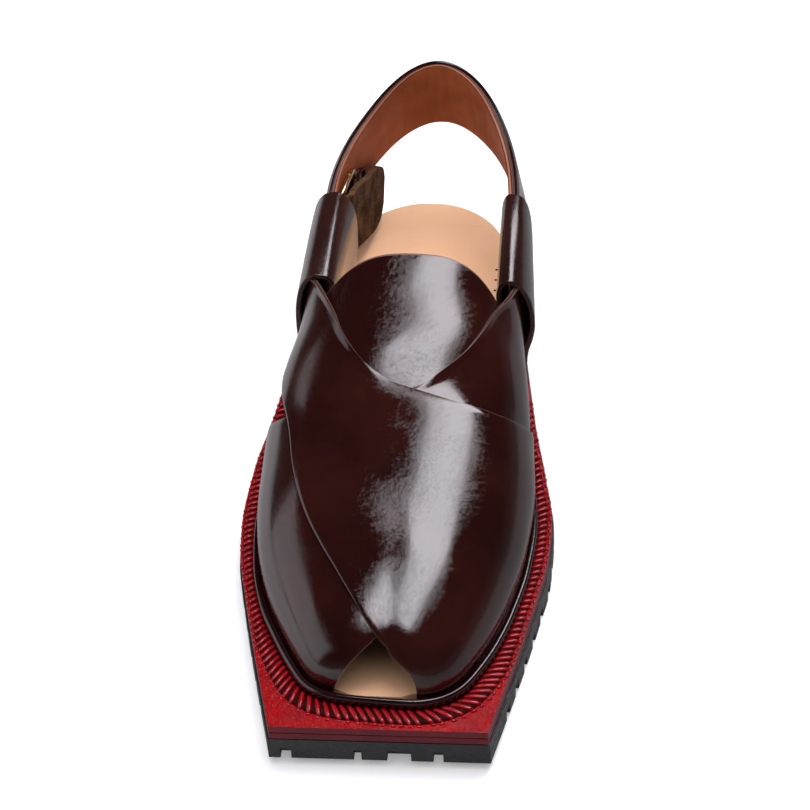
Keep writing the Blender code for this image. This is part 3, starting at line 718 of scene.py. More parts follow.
def object_place(tree):
    return add(tree, "ShaderNodeTexCoord").outputs["Object"]


def make_grain_group():
    """Fine pebbled grain of leather, with pores; scale is in cells a metre."""
    inputs = (("Scale", 1500.0), ("Pebble", 1.0))
    tree, given, out = new_group("leather_grain", inputs, ("Height", "Pores"))
    where = object_place(tree)
    warp = add(tree, "ShaderNodeTexNoise", {"Vector": where, "Scale": 420.0, "Detail": 2.0})
    stretch = {0: warp.outputs["Color"], 3: 0.0016}
    bent = add(tree, "ShaderNodeVectorMath", stretch, operation="SCALE").outputs[0]
    moved = add(tree, "ShaderNodeVectorMath", {0: where, 1: bent}, operation="ADD").outputs[0]
    cells = cell_value(tree, moved, given["Scale"], "DISTANCE_TO_EDGE")
    dots = cell_value(tree, moved, given["Scale"], "F1")
    fine = noise_value(tree, moved, given["Scale"], 3.0)
    pebbles = maths(tree, "MULTIPLY", ranged(tree, cells, 0.0, 0.28), given["Pebble"])
    height = maths(tree, "ADD", pebbles, maths(tree, "MULTIPLY", fine, 0.6))
    tree.links.new(height, out["Height"])
    tree.links.new(ranged(tree, dots, 0.22, 0.08), out["Pores"])
    return tree


def make_tone_group():
    """Uneven tone from dyeing and handling; patches a metre, and how sharply they part."""
    inputs = (("Scale", 40.0), ("Sharpness", 0.5))
    tree, given, out = new_group("uneven_tone", inputs, ("Mask",))
    cloud = noise_value(tree, object_place(tree), given["Scale"], 4.0)
    away = maths(tree, "SUBTRACT", 0.5, maths(tree, "MULTIPLY", given["Sharpness"], 0.45))
    low = maths(tree, "SUBTRACT", 0.5, away)
    high = maths(tree, "ADD", 0.5, away)
    tree.links.new(ranged(tree, cloud, low, high), out["Mask"])
    return tree


def make_rub_group():
    """Fine rub marks that run across the piece, thin and sparse."""
    tree, given, out = new_group("rub_marks", (("Scale", 260.0), ("Amount", 0.3)), ("Mask",))
    where = object_place(tree)
    streaks = []
    for stretch in ((1.0, 0.08, 0.5), (0.10, 1.0, 0.4)):
        drawn = add(tree, "ShaderNodeMapping", {"Vector": where, "Scale": stretch}).outputs[0]
        streak = noise_value(tree, drawn, given["Scale"], 5.0)
        streaks.append(ranged(tree, streak, 0.62, 0.74))
    both = maths(tree, "MAXIMUM", *streaks)
    patch = noise_value(tree, where, 22.0, 2.0)
    shown = maths(tree, "MULTIPLY", both, ranged(tree, patch, 0.42, 0.62))
    tree.links.new(maths(tree, "MULTIPLY", shown, given["Amount"]), out["Mask"])
    return tree


def make_edge_group():
    """Band along an edge, from a piece's UV map that gives centimetres from that edge."""
    tree, given, out = new_group("edge_band", (("From", 0.02), ("To", 0.06)), ("Mask",))
    where = add(tree, "ShaderNodeTexCoord").outputs["UV"]
    across = add(tree, "ShaderNodeSeparateXYZ", {0: where}).outputs[0]
    wander = noise_value(tree, object_place(tree), 300.0, 2.0)
    shake = maths(tree, "MULTIPLY", maths(tree, "SUBTRACT", wander, 0.5), 0.03)
    shaken = maths(tree, "ADD", across, shake)
    tree.links.new(ranged(tree, shaken, given["To"], given["From"]), out["Mask"])
    return tree


GRAIN = make_grain_group()
TONE = make_tone_group()
RUBS = make_rub_group()
EDGE_BAND = make_edge_group()


def use_group(tree, group, **values):
    return add(tree, "ShaderNodeGroup", values, node_tree=group).outputs


def new_finish(name, **constants):
    """Material with its shader's fixed values set on the shader's own sockets."""
    finish = bpy.data.materials.new(name)
    finish.use_nodes = True
    tree = finish.node_tree
    shader = tree.nodes["Principled BSDF"]
    for key, value in constants.items():
        shader.inputs[key.replace("_", " ")].default_value = value
    return finish, tree, shader.inputs


def surface(tree, shader, colour, roughness, height, depth):
    """Feeds the shader's colour, roughness and bump."""
    relief = {"Height": height, "Distance": depth, "Strength": 1.0}
    tree.links.new(colour, shader["Base Color"])
    tree.links.new(roughness, shader["Roughness"])
    tree.links.new(add(tree, "ShaderNodeBump", relief).outputs[0], shader["Normal"])


def polished_leather(name, deep, warm, rough, grain_depth, grain_scale=1500.0):
    """Dyed and polished leather: uneven tone, fine grain, rub marks in its gloss."""
    finish, tree, shader = new_finish(name, IOR=1.72)
    grain = use_group(tree, GRAIN, Scale=grain_scale, Pebble=1.0)
    broad = use_group(tree, TONE, Scale=26.0, Sharpness=0.5)["Mask"]
    coarse = use_group(tree, TONE, Scale=45.0, Sharpness=0.55)["Mask"]
    small = use_group(tree, TONE, Scale=190.0, Sharpness=0.3)["Mask"]
    rubs = use_group(tree, RUBS, Scale=260.0, Amount=0.5)["Mask"]
    colour = blend_colours(tree, broad, (*deep, 1), (*warm, 1))
    colour = stain(tree, colour, small, 0.35, deep)
    colour = stain(tree, colour, grain["Pores"], 0.4, deep)
    uneven = ranged(tree, small, 0.0, 1.0, rough * 0.8, rough * 1.25)
    gloss = maths(tree, "ADD", uneven, maths(tree, "MULTIPLY", rubs, 0.18))
    centred = maths(tree, "SUBTRACT", grain["Height"], 1.0)
    height = maths(tree, "MULTIPLY", centred, ranged(tree, coarse, 0.0, 1.0, 0.3, 1.0))
    surface(tree, shader, colour, gloss, height, grain_depth)
    return finish


def plain_leather(
        name, base, dark, rough, grain_depth, grain_scale, tone_scale=90.0, coat=0.0, ior=1.45):
    """Leather without polish: insole, lining, cut edges and sole leather."""
    finish, tree, shader = new_finish(name, IOR=ior, Coat_Weight=coat, Coat_Roughness=0.18)
    grain = use_group(tree, GRAIN, Scale=grain_scale, Pebble=0.6)
    broad = use_group(tree, TONE, Scale=tone_scale, Sharpness=0.4)["Mask"]
    rubs = use_group(tree, RUBS, Scale=200.0, Amount=0.6)["Mask"]
    colour = stain(tree, (*base, 1), broad, 0.6, dark)
    colour = stain(tree, colour, grain["Pores"], 0.5, dark)
    colour = stain(tree, colour, rubs, 0.5, dark)
    gloss = ranged(tree, broad, 0.0, 1.0, rough * 0.85, min(1.0, rough * 1.15))
    surface(tree, shader, colour, gloss, grain["Height"], grain_depth)
    return finish


def suede_finish(name, base, light):
    """Napped flesh side: short fibres brushed in patches, with pale fibre specks that are painted
    glints.
    """
    finish, tree, shader = new_finish(name, IOR=1.12)
    brushed = use_group(tree, TONE, Scale=120.0, Sharpness=0.6)["Mask"]
    fibres = noise_value(tree, object_place(tree), 1900.0, 4.0)
    # Pale specks where the fibre noise is high: painted glints of light on the nap
    lit = ranged(tree, fibres, 0.52, 0.62, 0.0, 0.9)
    colour = blend_colours(tree, brushed, (*base, 1), (*light, 1))
    colour = blend_colours(tree, lit, colour, (*light, 1), "SCREEN")
    gloss = ranged(tree, fibres, 0.3, 0.7, 0.85, 1.0)
    surface(tree, shader, colour, gloss, fibres, 0.0009)
    return finish


def rim_finish(name, red, dark, coat):
    """Glossy painted rim leather with a burnished line along its outer edge."""
    finish, tree, shader = new_finish(name, IOR=1.42, Coat_Weight=coat, Coat_Roughness=0.06)
    grain = use_group(tree, GRAIN, Scale=1300.0, Pebble=0.8)
    patches = use_group(tree, TONE, Scale=140.0, Sharpness=0.5)["Mask"]
    rubs = use_group(tree, RUBS, Scale=240.0, Amount=0.8)["Mask"]
    line = use_group(tree, EDGE_BAND, From=0.010, To=0.055)["Mask"]
    colour = stain(tree, (*red, 1), patches, 0.6, dark)
    colour = stain(tree, colour, rubs, 0.5, dark)
    colour = stain(tree, colour, line, 0.85, dark)
    gloss = ranged(tree, patches, 0.0, 1.0, 0.16, 0.30)
    surface(tree, shader, colour, gloss, grain["Height"], 0.00006)
    return finish


def rubber_finish(name, base, pale):
    """Moulded black rubber with fine specks, pale clouds and scuff marks."""
    finish, tree, shader = new_finish(name, IOR=1.52)
    specks = noise_value(tree, object_place(tree), 520.0, 4.0)
    clouds = use_group(tree, TONE, Scale=70.0, Sharpness=0.3)["Mask"]
    rubs = use_group(tree, RUBS, Scale=220.0, Amount=0.8)["Mask"]
    colour = stain(tree, (*base, 1), clouds, 0.5, pale)
    colour = stain(tree, colour, rubs, 0.6, pale)
    gloss = ranged(tree, specks, 0.35, 0.65, 0.34, 0.52)
    surface(tree, shader, colour, gloss, specks, 0.00045)
    return finish


def metal_finish(name, bright, dull):
    """Plated metal with hairline marks and slightly dull tarnished patches."""
    finish, tree, shader = new_finish(name, Metallic=1.0)
    rubs = use_group(tree, RUBS, Scale=900.0, Amount=1.0)["Mask"]
    tarnish = use_group(tree, TONE, Scale=300.0, Sharpness=0.5)["Mask"]
    uneven = ranged(tree, tarnish, 0.0, 1.0, 0.10, 0.22)
    gloss = maths(tree, "ADD", uneven, maths(tree, "MULTIPLY", rubs, 0.2))
    tree.links.new(stain(tree, (*bright, 1), tarnish, 0.45, dull), shader["Base Color"])
    tree.links.new(gloss, shader["Roughness"])
    return finish


# Colours are the main tone and the second one; grain is its depth in metres and cells a metre
OXBLOOD = polished_leather(
    "oxblood_polished_leather", (0.0130, 0.0028, 0.0024), (0.0330, 0.0075, 0.0056),
    rough=0.045, grain_depth=0.000011, grain_scale=1900.0)
SADDLE = polished_leather(
    "saddle_polished_leather", (0.0150, 0.0048, 0.0042), (0.0360, 0.0125, 0.0100),
    rough=0.13, grain_depth=0.000020)
RAND_LEATHER = polished_leather(
    "rand_polished_leather", (0.0090, 0.0022, 0.0022), (0.020, 0.005, 0.005),
    rough=0.12, grain_depth=0.000014)
CUT_EDGE = plain_leather(
    "burnished_cut_edge", (0.060, 0.026, 0.020), (0.020, 0.009, 0.008),
    rough=0.30, grain_depth=0.00006, grain_scale=1800.0)
# Lighter colour on the rounded edges of the tongue, the straps and the heel strap's core: a painted
# highlight line
EDGE_HIGHLIGHT = plain_leather(
    "painted_edge_highlight", (0.210, 0.120, 0.100), (0.080, 0.038, 0.030),
    rough=0.20, grain_depth=0.00004, grain_scale=1800.0, tone_scale=60.0, coat=0.3)
FLESH_SIDE = plain_leather(
    "brown_flesh_side", (0.055, 0.024, 0.016), (0.018, 0.008, 0.006),
    rough=0.80, grain_depth=0.00014, grain_scale=1500.0)
INSOLE_TAN = plain_leather(
    "tan_insole_leather_face", (0.870, 0.530, 0.320), (0.780, 0.440, 0.240),
    rough=0.45, grain_depth=0.00003, grain_scale=1300.0, tone_scale=40.0, ior=1.35)
LINING = plain_leather(
    "chestnut_lining", (0.470, 0.130, 0.045), (0.290, 0.070, 0.026),
    rough=0.60, grain_depth=0.00006, grain_scale=1200.0, ior=1.18)
ORANGE_EDGE = plain_leather(
    "orange_painted_edge", (0.430, 0.120, 0.044), (0.290, 0.070, 0.026),
    rough=0.45, grain_depth=0.00005, grain_scale=1400.0, ior=1.35)
CORE = plain_leather(
    "grey_brown_core_board", (0.070, 0.038, 0.030), (0.030, 0.015, 0.012),
    rough=0.70, grain_depth=0.00012, grain_scale=1600.0)
MAROON = plain_leather(
    "maroon_sole_edge", (0.150, 0.014, 0.022), (0.070, 0.008, 0.012),
    rough=0.34, grain_depth=0.00006, grain_scale=900.0, tone_scale=60.0, coat=0.05, ior=1.28)
SUEDE = suede_finish("brown_suede_nap", (0.020, 0.0095, 0.0050), (0.120, 0.064, 0.0340))
RIM_RED = rim_finish("red_rim_paint", (0.350, 0.0008, 0.0030), (0.120, 0.0006, 0.0020), coat=0.10)
STITCH_RED = rim_finish(
    "red_stitch_strand", (0.380, 0.0030, 0.0090), (0.150, 0.0010, 0.0030), coat=0.70)
# Dark strip under the whip stitches: painted shade in the gaps between the strands
STITCH_GAP_SHADE = plain_leather(
    "painted_shade_stitch_bed", (0.030, 0.0006, 0.0012), (0.010, 0.0003, 0.0006),
    rough=0.50, grain_depth=0.00010, grain_scale=1500.0, ior=1.2)
RUBBER = rubber_finish("black_lug_rubber", (0.016, 0.016, 0.017), (0.046, 0.046, 0.047))
GOLD = metal_finish("pale_gold_plate", (0.860, 0.700, 0.430), (0.560, 0.430, 0.230))


# Sole

def heel_stations(count):
    """Stations round the back of the heel, close together where the edge turns."""
    return [HEEL_ROUND * (1 - math.cos(math.radians(angle))) for angle in spread(count, 7, 90)]


def sole_slab(name, stations, proud, top, columns=6):
    """Sheet with the outline of the sole, laid at the height of its top face."""
    def locate(u, v):
        share = stations[round(v * (len(stations) - 1))]
        across = mix(-sole_half_width(share, -1) - proud, sole_half_width(share, 1) + proud, u)
        return place(share * SOLE_LENGTH, across, top(share))

    return lay_sheet(name, len(stations) - 1, columns, locate)


def cutting_blocks(name, boxes):
    """Blocks, each a centre and a size, joined in one tool."""
    made = []
    for centre, size in boxes:
        bpy.ops.object.select_all(action="DESELECT")
        bpy.ops.mesh.primitive_cube_add(size=1.0, location=centre, scale=size)
        bpy.ops.object.transform_apply(location=True, rotation=True, scale=True)
        made.append(bpy.context.object)
    pick_only(*made)
    bpy.ops.object.join()
    bpy.context.object.name = name
    return bpy.context.object


def tread_cutters():
    """Grooves between the lugs: in both sides, across the middle, and notches in the toe edge."""
    sides = []
    for first, last in SIDE_GROOVES:
        count = int((last - first) * SOLE_LENGTH / TREAD_PITCH)
        for i in range(count + 1):
            share = first + i * TREAD_PITCH / SOLE_LENGTH
            for side in (-1, 1):
                half = sole_half_width(share, side) + RUBBER_PROUD
                reach = min(SIDE_LUG_LENGTH, half * 0.5)
                middle = side * (half + GROOVE_DEPTH - reach / 2)
                size = (reach + 2 * GROOVE_DEPTH, GROOVE_WIDTH, 2 * GROOVE_DEPTH)
                sides.append((place(share * SOLE_LENGTH, middle, tread_height(share)), size))
    middles = []
    for share in MIDDLE_GROOVES:
        half = min(sole_half_width(share, -1), sole_half_width(share, 1))
        size = (half * 0.55, GROOVE_WIDTH * 0.8, 1.6 * GROOVE_DEPTH)
        middles.append((place(share * SOLE_LENGTH, 0.0, tread_height(share)), size))
    notches = []
    toe_half = sole_half_width(1.0, 1)
    for share_across, width in TOE_NOTCHES:
        size = (width * toe_half, 2 * NOTCH_DEPTH, 2 * GROOVE_DEPTH)
        notches.append((place(SOLE_LENGTH, share_across * toe_half, tread_height(1.0)), size))
    tools = (("side_grooves", sides), ("middle_grooves", middles), ("toe_notches", notches))
    return [cutting_blocks(name, boxes) for name, boxes in tools]


def make_outsole():
    """Black rubber with its shank raised, and grooves and notches cut into it."""
    stations = heel_stations(22) + spread(14, 0.13, 0.234) + [0.243] + spread(70, 0.255, 1.0)
    sheet = sole_slab("lug_outsole", stations, RUBBER_PROUD, outsole_top, 4)
    outsole = extrude_down(sheet, OUTSOLE_THICKNESS)
    for vertex in outsole.data.vertices:
        share = (HEEL_REST_STATION - vertex.co.y) / SOLE_LENGTH
        if vertex.co.z < outsole_top(share) - OUTSOLE_THICKNESS / 2:
            vertex.co.z = tread_height(share)
    for tool in tread_cutters():
        cut(outsole, tool)
    round_slab(outsole, RUBBER_ROUND, 1)
    dress(outsole, "black_rubber", ("outsole",), RUBBER)


def make_midsole():
    """Maroon leather layer between the rubber and the rim."""
    stations = heel_stations(22) + spread(90, 0.13, 1.0)
    sheet = sole_slab("sole_edge_leather", stations, 0.0, midsole_top)
    midsole = extrude_down(sheet, MIDSOLE_THICKNESS)
    round_slab(midsole, MIDSOLE_ROUND, 3)
    dress(midsole, "maroon_sole_leather", ("midsole",), MAROON)


def insole_row(share):
    """Station share and half widths of the insole at a ridge station of the last."""
    if share < LAST[0][0]:
        sides = [min(sole_half_width(share, side), HALF_BALL * LAST[0][3]) for side in (-1, 1)]
        return share, sides
    base = read_table(LAST, 2, share)
    inset = MEETING_GAP * (1 + 3 * max(0.0, share - LAST[8][0]) / (LAST[-1][0] - LAST[8][0]))
    sides = [HALF_BALL * read_table(LAST, column, share) - inset for column in (3, 4)]
    return base - inset / SOLE_LENGTH, sides


def punched_places():
    """Centres of the small holes along both sides of the waist, as station and across."""
    places = []
    count = round((HOLES_LAST - HOLES_FIRST) * SOLE_LENGTH / HOLE_PITCH) + 1
    for share in spread(count, HOLES_FIRST, HOLES_LAST):
        little, big = insole_row(share)[1]
        for across in (HOLE_INSET - little, big - HOLE_INSET):
            places.append((share * SOLE_LENGTH, across))
    return places


def punch_tool():
    """Cones that punch the holes, joined in one tool, dark inside."""
    cones = []
    for station, across in punched_places():
        bpy.ops.object.select_all(action="DESELECT")
        middle = insole_top(station / SOLE_LENGTH) - HOLE_DEPTH / 4
        bpy.ops.mesh.primitive_cone_add(
            vertices=10, radius1=HOLE_RADIUS * 0.6, radius2=HOLE_RADIUS * 1.25,
            depth=HOLE_DEPTH, location=place(station, across, middle))
        bpy.ops.object.transform_apply(location=True)
        cones.append(bpy.context.object)
    pick_only(*cones)
    bpy.ops.object.join()
    bpy.context.object.data.materials.append(CUT_EDGE)
    return bpy.context.object


def make_insole():
    """Tan board under the foot, cut off in front where the toe opening shows it."""
    ridge = heel_stations(20) + [0.14, 0.16, 0.18] + spread(40, 0.20, 0.80)
    ridge += sorted((*TOE_STATIONS, 0.904, 0.914))

    def locate(u, v):
        share = ridge[round(v * (len(ridge) - 1))]
        station, (little, big) = insole_row(share)
        across = mix(-little, big, to_edges(u))
        inside = TOE_OPENING_HALF - abs(across - TOE_OPENING_MIDDLE)
        opening = smooth_step(inside / TOE_OPENING_EASE)
        reach = mix(TOE_REACH, OPEN_TOE_REACH, opening)
        reach *= smooth_step((share - LAST[9][0]) / (LAST[-2][0] - LAST[9][0]))
        return place(station * SOLE_LENGTH + reach, across, insole_top(station))

    insole = extrude_down(lay_sheet("insole_leather", len(ridge) - 1, 16, locate), INSOLE_THICKNESS)
    bevel(insole, INSOLE_ROUND, 3)
    apply_modifiers(insole)
    insole.data.materials.append(INSOLE_TAN)
    cut(insole, punch_tool())
    shade_by_angle(insole)
    dress(insole, "tan_insole_leather", ("insole",), INSOLE_TAN)


# Rim, rand and stitching

def wall_point(share, side, height):
    """Station and across of the upper's outer face at a height above the midsole."""
    layers = 1 if side < 0 else 2
    low = 0.5
    high = 1.0
    for _ in range(20):
        across = (low + high) / 2
        rise = smooth_step((1 - across) / STRAP_RISE)
        outside = VAMP_LEATHER + layers * (VAMP_LEATHER - LAYER_OVERLAP) * rise
        point = on_last(share, across * side, outside)
        station = HEEL_REST_STATION - point.y
        if point.z > midsole_top(station / SOLE_LENGTH) + height:
            low = across
        else:
            high = across
    return station, point.x


def base_path(start, height, distance, side_count):
    """Line round the upper at a height, from the little-toe side over the toe, moved outwards."""
    ridge = spread(side_count, start, 0.80) + list(TOE_STATIONS)
    line = [wall_point(share, -1, height) for share in ridge]
    line += [wall_point(share, 1, height) for share in reversed(ridge)]
    moved = []
    for i, (station, across) in enumerate(line):
        before = line[max(i - 1, 0)]
        after = line[min(i + 1, len(line) - 1)]
        run = Vector((after[0] - before[0], after[1] - before[1])).normalized()
        moved.append((station + run.y * distance, across - run.x * distance))
    return ridge + ridge[::-1], moved


def measured(path):
    """Path as a table by length: length so far, station, across."""
    table = [(0.0, *path[0])]
    for before, after in zip(path, path[1:]):
        step = math.hypot(after[0] - before[0], after[1] - before[1])
        if step > LEAST_PATH_STEP:
            table.append((table[-1][0] + step, *after))
    return tuple(table)


def path_frame(table, length):
    """Point on a measured path as station and across, the level directions along and outwards."""
    def found(at):
        return Vector((read_table(table, 1, at), read_table(table, 2, at)))

    run = (found(length + PATH_STEP) - found(length - PATH_STEP)).normalized()
    return found(length), Vector((run.y, -run.x, 0.0)), Vector((-run.x, -run.y, 0.0))


def seam_line(start, distance, side_count):
    """Measured line round the upper at the height of the rand's top."""
    height = WELT_THICKNESS + MEETING_GAP + RAND_HEIGHT
    return measured(base_path(start, height, distance, side_count)[1])


RIM_INNER_SHARES, RIM_INNER = base_path(
    RIM_START, WELT_THICKNESS + MEETING_GAP, 2 * MEETING_GAP, 36)


def rim_outer(i):
    """Station and across of the rim's outer edge beside a point of its inner edge."""
    share = RIM_INNER_SHARES[i]
    side = -1 if i < len(RIM_INNER) / 2 else 1
    if share <= TOE_CORNER:
        outer = mix(RIM_START, 1.0, (share - RIM_START) / (TOE_CORNER - RIM_START))
        return outer * SOLE_LENGTH, side * sole_half_width(outer, side)
    reach = 1 - 0.9 * (share - TOE_CORNER) / (LAST[-1][0] - TOE_CORNER)
    return SOLE_LENGTH, side * sole_half_width(1.0, side) * reach


def make_rim():
    """Red rim of the forefoot: flat top, burnished line and rounded outer edge."""
    def pair(v):
        i = round(v * (len(RIM_INNER) - 1))
        return Vector(RIM_INNER[i]), Vector(rim_outer(i))

    def locate(u, v):
        inner, outer = pair(v)
        point = inner.lerp(outer, to_edges(u))
        return place(*point, rim_top(point.x / SOLE_LENGTH))

    def measure(u, v):
        inner, outer = pair(v)
        return (outer - inner).length * (1 - to_edges(u)) * 100, v

    rim = lay_sheet("red_rim", len(RIM_INNER) - 1, 8, locate, measure=measure)
    rim.data.materials.append(RIM_RED)
    rim.data.materials.append(MAROON)
    extrude_down(rim, WELT_THICKNESS)
    for face in rim.data.polygons:
        face.material_index = 0 if face.normal.z > 0.5 else 1
    round_slab(rim, RIM_ROUND, 3)
    dress(rim, "red_rim_leather", ("welt",), RIM_RED, MAROON)


def rim_width(point, out):
    """Width of rim left outside a point, along the direction outwards."""
    for step in range(1, RIM_SEARCH_COUNT):
        reach = step * RIM_SEARCH_STEP
        there = place(point.x, point.y, 0) + out * reach
        share = (HEEL_REST_STATION - there.y) / SOLE_LENGTH
        side = -1 if there.x < 0 else 1
        if share >= 1.0 or abs(there.x) >= sole_half_width(share, side):
            return reach
    return RIM_SEARCH_COUNT * RIM_SEARCH_STEP


def strand_shape(u, v):
    """Thick thread from (0, 0) to (0, 1), arched over the rim."""
    angle = 2 * math.pi * u
    rise = math.sin(math.pi * min(max(v, 0.0), 1.0)) ** 0.5
    swell = 0.76 + 0.24 * math.sin(math.pi * v)
    height = STRAND_HALF_HEIGHT * swell * math.sin(angle) + STRAND_ARCH * rise - STRAND_SINK
    return Vector((STRAND_HALF_WIDTH * swell * math.cos(angle), v, height))


def bead_shape(u, v):
    angle = 2 * math.pi * u
    swell = math.sqrt(max(0.02, 1 - (2 * v - 1) ** 2))
    across = BEAD_HALF_WIDTH * swell * math.cos(angle)
    height = BEAD_HALF_HEIGHT * swell * math.sin(angle)
    return Vector((BEAD_HALF_LENGTH * (2 * v - 1), across, height))


def stitch_places(table):
    """Matrices of the strands and of the beads, and the stitching's width by length."""
    total = table[-1][0]
    strands = []
    beads = []
    widths = []
    count = int(total / STITCH_PITCH)
    for i in range(count):
        length = (i + 0.5) * total / count
        point, run, out = path_frame(table, length)
        share = point.x / SOLE_LENGTH
        toe = smooth_step((share - STITCH_TURN_START) / STITCH_TURN_RUN)
        wanted = mix(SIDE_STITCH_WIDTH, TOE_STITCH_WIDTH, toe)
        width = max(min(rim_width(point, out) - BAND_EDGE, wanted), LEAST_STITCH_WIDTH)
        widths.append((length, width))
        slant = run * mix(SIDE_SLANT, TOE_SLANT, toe) * width
        turn = 1 + 0.10 * noise.noise(Vector((i * 0.73, 0.0, 0.0)))
        end_share = (point.x - out.y * width) / SOLE_LENGTH
        climb = Vector((0, 0, midsole_top(end_share) - midsole_top(share)))
        seat = place(point.x, point.y, rim_top(share) + BED_THICKNESS * 0.6)
        across = out * width + slant + climb
        strands.append(axes_matrix(run * turn, across, Vector((0, 0, turn)), seat - slant * 0.5))
        ahead = (run + out * BEAD_TILTS[i % 2]).normalized()
        beside = Vector((-ahead.y, ahead.x, 0))
        centre = seat + out * (width + BEAD_GAP) + slant * 0.5 + climb - Vector((0, 0, BEAD_SINK))
        beads.append(axes_matrix(ahead, beside, Vector((0, 0, 1)), centre))
    return strands, beads, tuple(widths)


def make_stitches():
    """Whip stitching beside the rand, a row of small beads outside it and a dark bed under them,
    which is painted shade in the gaps between the strands.
    """
    table = seam_line(STITCH_START, MEETING_GAP + RAND_WIDTH * 0.82, 30)
    strands, beads, widths = stitch_places(table)
    strand = close_tube(lay_sheet("strand", 6, 6, strand_shape), 0)
    dress(copies("whip_stitches", strand, strands), "red_rim_leather", ("welt",), STITCH_RED)
    bead = close_tube(lay_sheet("bead", 4, 6, bead_shape), 0)
    dress(copies("edge_beads", bead, beads), "red_rim_leather", ("welt",), STITCH_RED)

    def bed(u, v):
        length = v * table[-1][0]
        point, _, out = path_frame(table, length)
        reach = mix(-BED_TUCK, read_table(widths, 1, length) - BED_MARGIN, u)
        there = place(point.x, point.y, 0) + out * reach
        share = (HEEL_REST_STATION - there.y) / SOLE_LENGTH
        return Vector((there.x, there.y, rim_top(share) + BED_THICKNESS))

    strip = extrude_down(lay_sheet("stitch_bed", 160, 3, bed), BED_THICKNESS)
    strip.data.shade_smooth()
    dress(strip, "red_rim_leather", ("welt",), STITCH_GAP_SHADE)


def make_rand():
    """Rolled bead of polished leather that covers the seam between the upper and the rim."""
    table = seam_line(RAND_START, MEETING_GAP + RAND_WIDTH / 2, 24)

    def locate(u, v):
        point, _, out = path_frame(table, v * table[-1][0])
        angle = 2 * math.pi * u
        floor = rim_top(point.x / SOLE_LENGTH) + MEETING_GAP
        swell = mix(0.25, 1.0, smooth_step(min(v, 1 - v) / RAND_TAPER))
        across = RAND_WIDTH / 2 * math.cos(angle) * swell
        round_rise = math.copysign(abs(math.sin(angle)) ** 0.8, math.sin(angle))
        rise = RAND_HEIGHT / 2 * (1 + round_rise) * swell
        return place(point.x, point.y, floor + rise) + out * across

    rand = close_tube(lay_sheet("rolled_rand", 120, 12, locate))
    dress(rand, "oxblood_leather", ("rand",), RAND_LEATHER)


# Upper

# Soft troughs and ridges of the upper: station, across, half length, half width, turn in degrees,
# depth; the places are shares of the last, the rest is in metres
WEAR_MARKS = (
    (0.700, 0.05, 0.020, 0.0060, 35, -0.00016),
    (0.760, 0.16, 0.016, 0.0055, 30, -0.00020),
    (0.860, -0.30, 0.012, 0.0060, -60, -0.00030),
    (0.870, 0.30, 0.014, 0.0060, 70, -0.00030),
    (0.885, 0.10, 0.014, 0.0050, 85, -0.00025),
    (0.620, -0.62, 0.022, 0.0070, 80, -0.00020),
    (0.560, 0.62, 0.024, 0.0060, 75, -0.00020),
    (0.655, 0.66, 0.020, 0.0050, 80, -0.00020),
)


def worn(share, across):
    """Height of the listed marks and the slow unevenness of moulded leather."""
    along = share * SOLE_LENGTH
    around = across * HALF_UPPER_SPAN
    height = UNEVEN_DEPTH * noise.noise(Vector((along * 30, around * 34, 0.3)))
    for mark_share, mark_across, half_length, half_width, turn, depth in WEAR_MARKS:
        x = along - mark_share * SOLE_LENGTH
        y = around - mark_across * HALF_UPPER_SPAN
        c = math.cos(math.radians(turn))
        s = math.sin(math.radians(turn))
        a = (x * c + y * s) / half_length
        b = (y * c - x * s) / half_width
        height += depth * math.exp(-a * a - b * b)
    return height


def strap_surface(table, lift, base_side):
    """Outer face of a strap that lies on the last, raised over the layers under it."""
    def locate(u, v):
        t = to_edges(u)
        ankle_share, ankle_across, toe_share, toe_across, ankle_turn, toe_turn = read_row(table, v)
        share = mix(ankle_share, toe_share, t)
        across = mix(ankle_across, toe_across, t)
        rise = 1.0
        if across * base_side > 0:
            rise = smooth_step((1 - abs(across)) / STRAP_RISE)
        height = lift * rise + STRAP_TURN * mix(ankle_turn, toe_turn, t) + VAMP_LEATHER
        lifted = smooth_step((v - EDGE_LIFT_START) / EDGE_LIFT_RUN)
        height -= EDGE_DROP * max(0.0, 1 - min(t, 1 - t) / EDGE_DROP_SHARE) ** 2
        height += EDGE_LIFT * max(0.0, 1 - t / EDGE_LIFT_SHARE) ** 1.5 * lifted
        return on_last(share, across, height + worn(share, across) * rise)

    return locate


def tongue_surface(u, v):
    """Outer face of the tongue, which lies on the last with its top edge round."""
    t = to_edges(u)
    middle, side_station, little, big = read_row(TONGUE, v)
    across = mix(little, big, t)
    share = mix(middle, side_station, abs(2 * t - 1) ** 2.2)
    return on_last(share, across, VAMP_LEATHER + 0.5 * worn(share, across))


def make_upper():
    """Tongue and the two crossed straps, each a layer of leather of its own."""
    lift = VAMP_LEATHER - LAYER_OVERLAP
    # The rounded edges get the painted highlight line
    finishes = (OXBLOOD, CUT_EDGE, FLESH_SIDE, EDGE_HIGHLIGHT)
    tongue = thicken(lay_sheet("tongue", 22, 22, tongue_surface), VAMP_LEATHER)
    dress(tongue, "oxblood_leather", ("upper",), *finishes)
    straps = (("under_strap", UNDER_STRAP, 1, -1), ("top_strap", TOP_STRAP, 2, 1))
    for name, table, layers, side in straps:
        strap = lay_sheet(name, 46, 26, strap_surface(table, layers * lift, side))
        thicken(strap, VAMP_LEATHER, STRAP_ROUND)
        dress(strap, "oxblood_leather", ("upper",), *finishes)


# Saddles, heel strap and buckle

